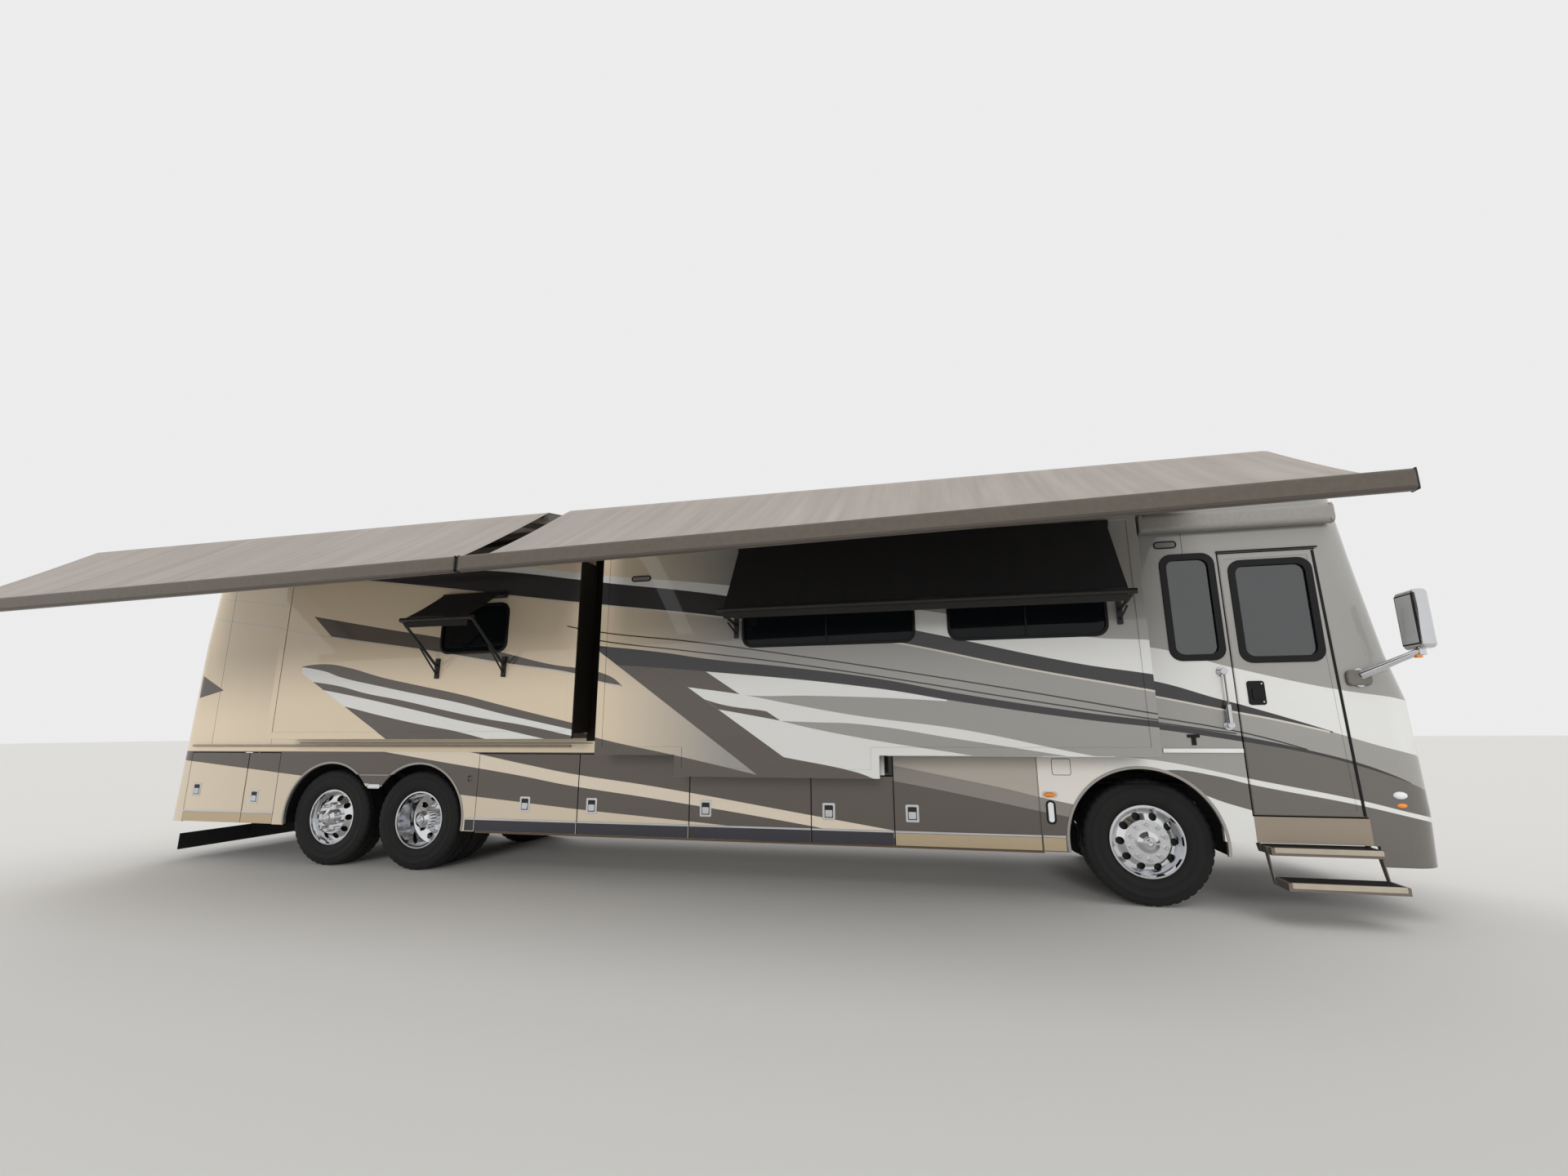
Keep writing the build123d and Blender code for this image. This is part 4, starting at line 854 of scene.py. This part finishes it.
def door_trim():
    """The sill and the latch on each baggage door; the left side has fewer doors."""
    for side, word in sides:
        for number, (x0, x1, latch_x, latch_z) in enumerate(doors, 1):
            body = f"bay_door_{word}_{number}"
            if body in nodes:
                latch(f"latch_{word}_{number}", body, side, latch_x if side < 0 else x0 + 0.1, latch_z)
                sill(f"{word}_{number}", [(x0 + seam, x1 - seam)], side, body)


def sill_ends():
    """The sill goes on along the fixed panels between doors and arches."""
    for side, word in sides:
        sill(f"fixed_{word}", [(-6.66, -6.55), (-0.85, -0.665)], side)


front_arch_x = -0.03
arch_feet = (-8, 188)  # where the arches end, in degrees from +x


def arch_lips():
    """Bright rolled lips round the wheel arches."""
    arch_z = 0.522
    front = [arc(front_arch_x, arch_z, radius, *arch_feet, 60) for radius in (0.628, 0.604)]
    rear = [
        arc(drive_x, arch_z, radius, arch_feet[0], 90 + meet, 40)
        + arc(tag_x, arch_z, radius, 90 - meet, arch_feet[1], 40)
        for radius, meet in ((0.612, 41), (0.588, 36))
    ]
    for side, word in sides:
        low, high = sorted((side * (half_width - 0.028), side * (half_width + 0.006)))
        shape = Shape().border(*front, low, high, closed=False).border(*rear, low, high, closed=False)
        shape.done(f"arch_lips_{word}", "lip_metal", 0.002, smooth=50)


def arch_liners():
    """Dark liners over the wheels, open towards the middle."""
    for name, rear_x, front_x, radius, top, inner in (
        ("front", front_arch_x, front_arch_x, 0.64, 1.0, 0.72),
        ("rear", tag_x, drive_x, 0.625, 1.12, 0.5),
    ):
        rear = arc(rear_x, tyre_radius, radius, arch_feet[1], 90, 20)
        front = arc(front_x, tyre_radius, radius, 90, arch_feet[0], 20)
        line = [(x, min(z, top)) for x, z in rear + front]
        for side, word in sides:
            reach = (side * (half_width - 0.035), side * inner)
            shape = Shape().skin([[(x, y, z) for x, z in line] for y in reach], closed=False)
            shape.done(f"arch_liner_{name}_{word}", "liner_black", smooth=60)


def slide_flanges():
    """Mitred edge frames on the faces of the slide-out rooms."""
    width = 0.075
    stepped = [
        (-4.945, 1.24), (-4.12, 1.24), (-4.12, 1.048), (-2.2, 1.048), (-2.2, 1.24), (0.05, 1.24),
        (0.05, room_top), (-4.945, room_top),
    ]

    def oblong(x0, x1):
        return [(x0, rear_room_foot), (x1, rear_room_foot), (x1, room_top), (x0, room_top)]

    for word, side, outer in (
        ("mid", -1, stepped), ("rear", -1, oblong(-8.968, -5.201)), ("left", 1, oblong(-8.968, 0.05)),
    ):
        middle = [(min(places) + max(places)) / 2 for places in zip(*outer)]
        inner = [[a + copysign(width, m - a) for a, m in zip(corner, middle)] for corner in outer]
        flange = raised(side * slide_face, outer, 0.006, inner)
        flange.done(f"slide_flange_{word}", "room_paint", 0.003, f"{word}_slide")


def ringed(box, corners, rim, pieces, steps=6, y=kerb, body="coach"):
    """A rounded ring on a kerb-side face, and what fills it; a piece is name, finish, out and bevel."""
    outer, inner = rounded(*box, corners[0], steps), rounded(*box, corners[1], steps, rim)
    for (name, finish, out, bevel), outline, hole in zip(pieces, (outer, inner), (inner, None)):
        raised(y, outline, out, hole).done(name, finish, bevel, body)


def side_fittings():
    """Ledges, vents, markers, lamps, handles and the fuel door on the kerb side."""
    Shape().block(-10.56, -5.45, kerb - 0.03, kerb, 1.297, 1.322).done("ledge_rear", "trim_metal", 0.006)
    Shape().block(0.17, 0.78, kerb - 0.02, kerb, 1.262, 1.298).done("ledge_front", "white_trim", 0.005)
    rail = Shape().block(0.78, 1.56, kerb - 0.018, kerb, 2.985, 2.997)
    rail.done("drip_rail", "gloss_black", 0.003, slot="body_paint")
    for name, box, corner, y, body in (
        ("vent_front", (0.29, 0.48, 3.05, 3.12), 0.033, kerb, "coach"),
        ("vent_mid_slide", (-4.63, -4.42, 2.93, 2.99), 0.028, -slide_face, "mid_slide"),
    ):
        pieces = [(name + "_ring", "gloss_black", 0.007, 0.0015), (name + "_core", "vent_grey", 0.003, 0)]
        ringed(box, (corner, corner - 0.014), 0.012, pieces, 8, y, body)
    # The fuel door, with its dark gap round it
    gap = [("fuel_door_gap", "black_steel", 0.0015, 0)]
    ringed((-0.736, -0.577, 1.067, 1.21), (0.02, 0.017), 0.004, gap, 4)
    fuel_door = raised(kerb, rounded(-0.731, -0.582, 1.072, 1.205, 0.016, 4), 0.003)
    fuel_door.done("fuel_door", "body_paint", 0.001)
    # The amber marker and the tall clear lamp behind the front arch, and the lamp over the tag wheel
    Shape().dome((-0.77, kerb, 0.902), (0.054, 0.02, 0.021)).done("marker_amber", "amber_lens")
    ringed((-0.834, -0.706, 0.876, 0.928), (0.024, 0.018), 0.006, [("marker_bezel", "bright", 0.006, 0.001)])
    for name, finish, out, lens_bevel, box, corners, rim in (
        ("dock_lamp", "gloss_black", 0.009, 0.003, (-0.808, -0.728, 0.655, 0.855), (0.036, 0.022), 0.016),
        ("rear_dock_lamp", "bright", 0.008, 0.002, (-7.955, -7.785, 0.845, 0.895), (0.022, 0.012), 0.012),
    ):
        pieces = [(name + "_bezel", finish, out, 0.002), (name + "_lens", "clear_lens", 0.006, lens_bevel)]
        ringed(box, corners, rim, pieces)
    # The grab handle beside the door
    bar_y = kerb - 0.055
    bar = Shape().tube([(0.7, bar_y, 1.5), (0.7, bar_y, 1.7), (0.7, bar_y, 1.93)], 0.007, 18)
    bar.done("grab_bar", "smoked_lens")
    mounts = Shape().tube([(0.7, bar_y, 1.5), (0.7, bar_y, 1.66)], 0.02, 18)
    for z in (1.49, 1.94):
        mounts.pin(0.7, z, kerb, bar_y - 0.012, 0.028, 24).pin(0.7, z, kerb, kerb - 0.01, 0.042, 28)
    mounts.done("grab_handle_mounts", "bright", 0.002)
    # The pull handle on the small door under the ledge, and the hook ahead of the drive wheel
    pull = Shape().block(0.372, 0.468, kerb - 0.012, kerb, 1.388, 1.415)
    pull.block(0.402, 0.438, kerb - 0.01, kerb, 1.325, 1.388).done("pull_handle", "gloss_black", 0.003)
    bends = ((0, 0.995), (0.03, 0.99), (0.035, 0.955), (0.012, 0.94))
    Shape().tube([(-6.64, kerb - out, z) for out, z in bends], 0.005).done("panel_hook", "black_steel")


def door_fittings():
    """The entry door's handle, its black seal down the hinge side and the line inside its edge."""
    door = "entry_door"
    plate = raised(kerb, rounded(0.875, 1.008, 1.655, 1.856, 0.022, 5), 0.008)
    plate.done("entry_handle_plate", "gloss_black", 0.003, door)
    paddle = raised(kerb, rounded(0.905, 0.985, 1.7, 1.79, 0.012, 4), 0.016, back=-0.004)
    paddle.done("entry_handle_paddle", "gloss_black", 0.003, door)
    rivets = Shape().pin(0.985, 1.832, kerb, kerb - 0.012, 0.007).pin(0.985, 1.68, kerb, kerb - 0.012, 0.007)
    rivets.done("entry_handle_rivets", "bright", 0.001, door)
    seal = [(1.563, 0.775), (1.585, 0.775), (1.533, 2.965), (1.511, 2.965)]
    raised(kerb, seal, 0.006).done("entry_seal", "gloss_black", 0.002, door)
    lean = (1.535 - 1.587) / (2.97 - 0.77)
    outer = [(0.80, 0.775), (1.56, 0.775), (1.56 + lean * 2.19, 2.965), (0.80, 2.965)]
    inner = [(0.838, 0.815), (1.525, 0.815), (1.525 + lean * 2.11, 2.925), (0.838, 2.925)]
    raised(kerb, outer, 0.004, inner).done("entry_door_edge", "body_paint", 0.002, door)


def nose_lamps():
    """Side lamps on the front corner: a clear one over an amber one."""
    for side, word in sides:
        for name, z, (rx, ry, rz) in (
            ("clear", 0.94, (0.05, 0.02, 0.03)),
            ("amber", 0.862, (0.036, 0.015, 0.019)),
        ):
            lamp = Shape().dome((1.835, side * (half_width - 0.004), z), (rx, -side * ry, rz))
            lamp.done(f"side_lamp_{name}_{word}", name + "_lens")


def cloth(name, x0, x1, profile_at, body, finish, sag):
    """A taut sheet along x over a line of (y, z) points at each x, with slight sag and ripples."""
    across, lengthwise = 30, 160

    def spans(profile):
        return [dist(a, b) for a, b in zip(profile, profile[1:])]

    loops = []
    for i in range(lengthwise + 1):
        u = i / lengthwise
        x = x0 + (x1 - x0) * u
        profile = profile_at(x)
        lengths = spans(profile)
        loop = []
        for j in range(across + 1):
            place = sum(lengths) * j / across
            k = 0
            while k < len(lengths) - 1 and place > lengths[k]:
                place -= lengths[k]
                k += 1
            t = place / lengths[k]
            (ya, za), (yb, zb) = profile[k], profile[k + 1]
            ripple = 0.35 * sin(u * 61 + t * 3) + 0.25 * sin(u * 139 - t * 5)
            ripple += 0.2 * sin(u * 23 + k)
            drop = sag * sin(pi * min(1, t)) * (1 + 0.35 * ripple)
            loop.append((x, ya + (yb - ya) * t, za + (zb - za) * t - drop))
        loops.append(loop)
    sheet = Shape().skin(loops, closed=False).done(name, finish, body=body, smooth=180)
    flat = (x1 - x0, sum(spans(profile_at((x0 + x1) / 2))))
    return sheet


# Patio awnings: name, fabric's rear and front end, then the lead rail's
patio = [("rear", -10.376, -4.965, -10.71, -4.95), ("front", -4.755, 0.648, -4.93, 0.827)]
rail_front, rail_foot, rail_height, rail_fall = 0.827, 2.672, 0.116, 0.0165


def rail_bottom(x):
    """The underside of the lead rails, which run down towards the rear."""
    return rail_foot - rail_fall * (rail_front - x)


def patio_profile(x):
    """The fabric's line at x, as (y, z): over the case, over the ridge and onto the lead rail."""
    return [(-1.312, 3.692), (-2.72, 3.372), (-3.776, rail_bottom(x) + rail_height + 0.001)]


def patio_fabrics():
    for name, x0, x1, *_ in patio:
        name, rests = f"patio_fabric_{name}", ["awning_hardware"]
        piece = cloth(name, x0, x1, patio_profile, "coach", "awning_cloth", 0.012)
        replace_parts(piece, "awning_fabrics")


# Window awnings: name, rear and front end, roller z, reach, bar z, arm pivot z
window_awnings = [
    ("mid", -3.53, -0.14, 3.19, 0.54, 2.5, 2.44),
    ("rear", -6.83, -6.0, 2.87, 0.56, 2.545, 2.13),
]


def window_awning_pieces():
    """Each window awning: roller, arms, feet and bar, with a black cloth between."""
    for name, x0, x1, roller_z, reach, bar_z, pivot_z in window_awnings:
        body, face = name + "_slide", -slide_face
        roller_y, bar_y, stay_z = face - 0.038, face - reach, pivot_z - 0.08
        metal = Shape().tube([(x0 + 0.04, roller_y, roller_z), (x1 - 0.04, roller_y, roller_z)], 0.037, 24)
        metal.tube([(x0, bar_y, bar_z), (x1, bar_y, bar_z)], 0.023, 20)
        metal.block(x0 + 0.06, x1 - 0.06, bar_y - 0.004, bar_y + 0.004, bar_z - 0.075, bar_z)
        for x in (x0 + 0.015, x1 - 0.015):
            metal.tube([(x, face - 0.02, pivot_z), (x, bar_y, bar_z)], 0.014, 10)
            metal.tube([(x, face - 0.02, stay_z), (x, (face + bar_y) / 2, (stay_z + bar_z) / 2)], 0.009, 10)
            metal.block(x - 0.02, x + 0.02, face - 0.03, face, pivot_z - 0.12, pivot_z + 0.09)
            metal.pin(x, pivot_z, face, face - 0.036, 0.022)
        holder = metal.done(f"window_awning_{name}_frame", "black_steel", 0.001, body, 50)
        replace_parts(holder, f"window_awning_{name}")
        line = [(roller_y - 0.03, roller_z + 0.024), (bar_y, bar_z + 0.024)]
        piece = f"window_awning_{name}_cloth"
        cloth(piece, x0 + 0.06, x1 - 0.06, lambda x: line, body, "black_cloth", 0.01)


# Tyres: name, axle's x, middle, wheel, node
tyres = [
    ("front", 0, 1.055, "front", "tyre_front"),
    ("tag", tag_x, 1.09, "tag", "tyre_tag"),
    ("drive_outer", drive_x, 1.105, "drive", "tyres_drive"),
    ("drive_inner", drive_x, 0.765, "drive", "tyres_drive"),
]
# Wheels: name, axle's x, tyre's middle, then how far outside it the hub's face, its cap and the drum are
wheels = [
    ("front", 0, 1.055, 0.128, 0.2, 0.045),
    ("tag", tag_x, 1.09, 0.128, 0.2, 0.045),
    ("drive", drive_x, 1.105, -0.158, 0.105, -0.19),
]


def tyre_pieces():
    """Each tyre with ribs, grooves, shoulder lugs and moulded side walls."""
    half = [
        (0.12, 0.2865), (0.12, 0.299), (0.131, 0.312), (0.147, 0.335), (0.1545, 0.362), (0.1545, 0.372),
        (0.1568, 0.374), (0.1568, 0.382), (0.1552, 0.384), (0.1552, 0.43), (0.1562, 0.432), (0.1562, 0.44),
        (0.154, 0.443), (0.151, 0.47), (0.147, 0.492), (0.135, 0.5095), (0.126, 0.515), (0.098, 0.5175),
        (0.092, 0.516), (0.089, 0.503), (0.081, 0.503), (0.078, 0.5165), (0.045, 0.5188), (0.041, 0.517),
        (0.038, 0.503), (0.03, 0.503), (0.027, 0.5172), (0.012, 0.5195), (0.008, 0.518), (0.006, 0.505),
    ]
    profile = half + [(-out, radius) for out, radius in reversed(half)]
    shoulders = {k for k, (out, radius) in enumerate(profile) if radius > 0.49 and abs(out) > 0.095}

    def notch(n, k):
        return 0.009 if k in shoulders and n % 4 == 0 else 0.0

    for side, word in sides:
        for name, x, middle, wheel, node in tyres:
            tyre = Shape().turned(profile, (x, side * middle, tyre_radius), 168, notch)
            body = f"{wheel}_wheel_{word}"
            piece = tyre.done(f"tyre_{name}_{word}_rubber", "tyre_rubber", body=body, smooth=32)
            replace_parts(piece, f"{node}_{word}")


def wheel_fittings():
    """Domed covers on the wheel nuts and an oil cap on each hub."""
    cap = (
        (-0.004, 0), (-0.004, 0.05), (0.012, 0.046), (0.012, 0.03), (0.02, 0.026), (0.02, 0.012), (0.016, 0),
    )
    nut_circle = 0.1429
    for side, word in sides:
        for name, x, middle, hub_out, cap_out, _ in wheels:
            shape = Shape()
            face = middle + hub_out + 0.03
            for t in turn(10):
                nut_x, nut_z = x + nut_circle * sin(t), tyre_radius + nut_circle * cos(t)
                shape.pin(nut_x, nut_z, side * face, side * (face + 0.022), 0.0165, 12)
            ring = [(side * (cap_out + away), radius) for away, radius in cap]
            shape.turned(ring, (x, side * middle, tyre_radius), 32)
            piece = f"wheel_nut_covers_{name}_{word}"
            shape.done(piece, "bright", 0.005, f"{name}_wheel_{word}", 50, "wheel_alloy")


def brake_drums():
    """The dark drum behind each wheel's hand holes."""
    section = ((0, 0.11), (0, 0.24), (-0.006, 0.24), (-0.006, 0.11), (0, 0.11))
    for side, word in sides:
        for name, x, middle, _, _, drum_out in wheels:
            profile = [(side * (drum_out + away), radius) for away, radius in section]
            drum = Shape().turned(profile, (x, side * middle, tyre_radius), 48)
            drum.done(f"brake_drum_{name}_{word}", "axle_iron", body=f"{name}_wheel_{word}")


def mirrors():
    """Looking glass in the back of each mirror head, with its rim, arm and base, and a small lamp."""
    head_x, back = 2.04, 1.984
    for side, word in sides:
        y = side * 1.51
        pane = Shape().block(back - 0.003, back + 0.004, y - 0.095, y + 0.095, 2.11, 2.49)
        pane.done(f"mirror_glass_{word}", "looking_glass", 0.001)
        rim = Shape().block(back - 0.001, back + 0.006, y - 0.107, y + 0.107, 2.098, 2.502)
        rim.done(f"mirror_rim_{word}", "gloss_black", 0.002)
        arm = Shape().tube([(1.7, side * 1.32, 1.888), (head_x, y, 2.056)], 0.027, 24)
        arm.tube([(head_x, y, 2.02), (head_x, y, 2.085)], 0.03, 24)
        arm.done(f"mirror_arm_{word}", "bright", 0.003)
        base = raised(side * half_width, rounded(1.6, 1.78, 1.8, 1.93, 0.04, 8), 0.035, back=0)
        base.done(f"mirror_base_{word}", "mirror_foot", 0.012)
        marker = Shape().tube([(2.02, side * 1.5, 2.0), (2.02, side * 1.5, 2.03)], 0.028, 20)
        marker.done(f"mirror_marker_{word}", "amber_lens", 0.008)


def wipers():
    """Two wipers parked along the foot of the windshield."""
    for k, y in enumerate((-0.1, 0.85)):
        arm = Shape().tube([(2.165, y, 1.74), (2.19, y - 0.35, 1.79), (2.172, y - 0.72, 1.83)], 0.008, 8)
        arm.done(f"wiper_{k}", "black_steel")


def roof_unit_slats():
    """Air slots along the sides of the roof air conditioners."""
    for k, middle in enumerate((-8.9, -5.1, -1.5)):
        shape = Shape()
        for y in (-0.32625, 0.32625):
            for n in range(12):
                x = middle - 0.36 + n * 0.065
                shape.block(x, x + 0.04, y - 0.008, y + 0.008, 3.665, 3.74)
        shape.done(f"roof_unit_slots_{k}", "black_steel")


def cushion(name, x0, x1, y0, y1, z0, z1, crown):
    """A padded block: crowned faces, pulled-in edges and stitched channels."""
    size = Vector((x1 - x0, y1 - y0, z1 - z0)) / 2
    middle = Vector((x0 + x1, y0 + y1, z0 + z1)) / 2
    power = 5.0  # how square the block is
    shape = Shape()
    bmesh.ops.create_cube(shape.mesh, size=2)
    bmesh.ops.subdivide_edges(shape.mesh, edges=shape.mesh.edges, cuts=14, use_grid_fill=True)
    for vert in shape.mesh.verts:
        x, y, z = vert.co
        unit = vert.co / (abs(x) ** power + abs(y) ** power + abs(z) ** power) ** (1 / power)
        swell = 1 - crown * (1 - min(1, (1 - abs(x * y)) * (1 - abs(y * z)) * (1 - abs(x * z)) * 1.2))
        channel = 0.012 * max(0.0, 1 - abs(((y + 1) * 2.5) % 1 - 0.5) * 9) * (max(abs(x), abs(z)) > 0.9)
        vert.co = middle + unit * size * swell * (1 - channel)
    shape.done(name, "leather", smooth=60)


def seats():
    """The two cab seats: pedestal, padded cushion, back and head rest."""
    floor = 1.1
    for word, x, y in (("driver", 0.82, 0.62), ("passenger", 0.525, -0.62)):
        stand = Shape().block(x - 0.16, x + 0.16, y - 0.16, y + 0.16, floor, floor + 0.29)
        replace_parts(stand.done(f"seat_stand_{word}", "black_steel", 0.01), "cab_seats")
        for part, back, front, half, low, high, crown in (
            ("cushion", -0.27, 0.26, 0.27, 0.29, 0.44, 0.1),
            ("back", -0.33, -0.2, 0.26, 0.44, 0.92, 0.12),
            ("head", -0.33, -0.22, 0.16, 0.93, 1.1, 0.15),
        ):
            box = (x + back, x + front, y - half, y + half, floor + low, floor + high)
            cushion(f"seat_{part}_{word}", *box, crown)


def entry_awning_trim():
    """The entry awning's lower tube and its end caps."""
    shape = Shape().tube([(0.2, kerb - 0.085, 3.215), (1.66, kerb - 0.085, 3.215)], 0.03, 20)
    for x in (0.165, 1.65):
        shape.block(x, x + 0.025, kerb - 0.119, kerb, 3.19, 3.345)
    shape.done("entry_awning_tube", "awning_metal", 0.004)


def step_grips():
    """Ribbed grip mats on the entry steps' treads."""
    ribs = 9
    for k, (y_in, y_out, top) in enumerate(((1.19, 1.425, 0.535), (1.4, 1.64, 0.318))):
        shape = Shape()
        for n in range(ribs):
            y = -y_out + 0.02 + (y_out - y_in - 0.04) * n / (ribs - 1)
            shape.block(0.86, 1.585, y - 0.004, y + 0.004, top - 0.001, top + 0.004)
        shape.done(f"step_grip_{k}", "black_steel")
        nosing = Shape().block(0.855, 1.59, -y_out - 0.004, -y_out + 0.018, top - 0.036, top + 0.004)
        nosing.done(f"step_nosing_{k}", "nosing_tan", 0.003)


def sloping_bar(shape, x0, x1, y0, y1, low, high):
    """A bar along a lead rail, between two heights above its underside."""
    corners = ((y0, low), (y1, low), (y1, high), (y0, high))
    return shape.skin([[(x, y, rail_bottom(x) + up) for y, up in corners] for x in (x0, x1)], capped=True)


def rail_caps():
    """End caps on the lead rails and a dark lip along their lower edge."""
    outer_y, cap = -3.8355, 0.01
    for name, _, _, x0, x1 in patio:
        caps = Shape()
        for x in (x0, x1 - cap):
            sloping_bar(caps, x, x + cap, outer_y, -3.773, -0.001, rail_height + 0.001)
        caps.done(f"lead_rail_caps_{name}", "black_steel", 0.002)
        lip = sloping_bar(Shape(), x0 + 0.02, x1 - 0.02, outer_y, -3.83, 0.001, 0.02)
        lip.done(f"lead_rail_lip_{name}", "rail_dark", 0.002)


def case_rail():
    """The rubber strip that closes the slit between the roof and the awning cases; being black, it also
    stands in for the shade on the roof's edge under the awnings.
    """
    Shape().block(-10.25, 0.5, -1.2, -1.1, 3.575, 3.618).done("case_rail", "rubber", 0.002)


for make in (
    window_frames, door_trim, sill_ends, arch_lips, arch_liners, slide_flanges, side_fittings, door_fittings,
    nose_lamps, patio_fabrics, window_awning_pieces, tyre_pieces, wheel_fittings, brake_drums, mirrors,
    wipers, roof_unit_slats, seats, entry_awning_trim, step_grips, rail_caps, case_rail,
):
    make()

backdrop_light, sky_light = 0.84, 0.5


def stage():
    """A pale floor and a plain backdrop from the world, with soft studio light."""
    reach = 120
    mesh = bpy.data.meshes.new("floor")
    corners = [(-reach, -reach, 0), (reach, -reach, 0), (reach, reach, 0), (-reach, reach, 0)]
    mesh.from_pydata(corners, [], [(0, 1, 2, 3)])
    Finish("floor", linear(226, 225, 222), 0.9)
    mesh.materials.append(materials["floor"])
    floor = added("floor", mesh)

    world = bpy.data.worlds.new("studio")
    bpy.context.scene.world = world
    world.use_nodes = True
    tree = world.node_tree
    back = tree.nodes["Background"]
    rays = tree.nodes.new("ShaderNodeLightPath")
    camera_ray, glossy, through = (
        Socket(tree, rays.outputs[f"Is {kind} Ray"]) for kind in ("Camera", "Glossy", "Transmission")
    )
    seen = glossy.math("MAXIMUM", camera_ray, glossy.math("MAXIMUM", glossy, through))
    strength = seen * (backdrop_light - sky_light) + sky_light
    tree.links.new(strength.link, back.inputs["Strength"])
    back.inputs["Color"].default_value = (1, 1, 1, 1)


# Soft suns: name, where it stands (degrees round from the front, degrees up), strength, width in degrees
suns = [
    ("overhead", -72, 60, 0.85, 60),
    ("kerb_side", -84, 11, 1.4, 18),
    ("far_side", 120, 28, 0.8, 35),
]


def lights():
    for name, round_from_front, up, strength, width in suns:
        data = bpy.data.lights.new(name, "SUN")
        data.energy = strength
        data.angle = radians(width)
        made = added(name, data)
        t, e = radians(round_from_front), radians(up)
        stand = Vector((cos(t) * cos(e), sin(t) * cos(e), sin(e)))
        made.rotation_euler = (-stand).to_track_quat("-Z", "Y").to_euler()
        made.location = origin + stand * 30
        made.visible_glossy = False


def camera():
    """The photograph's viewpoint: beside the kerb side, low, with a very wide lens."""
    stand, focal_pixels, width_pixels = Vector((-1.604, -7.769, 1.475)), 818.5, 1920
    yaw, pitch, roll = (radians(angle) for angle in (13.45, 90 + 11.91, -0.26))
    data = bpy.data.cameras.new("camera")
    data.sensor_width = 36
    data.lens = data.sensor_width * focal_pixels / width_pixels
    data.clip_end = 500
    made = added("camera", data)
    turned = Matrix.Rotation(yaw, 4, "Z") @ Matrix.Rotation(pitch, 4, "X") @ Matrix.Rotation(roll, 4, "Z")
    made.matrix_world = Matrix.Translation(origin + stand) @ turned
    bpy.context.scene.camera = made


stage()
lights()
camera()
bpy.context.scene.view_settings.view_transform = "Standard"
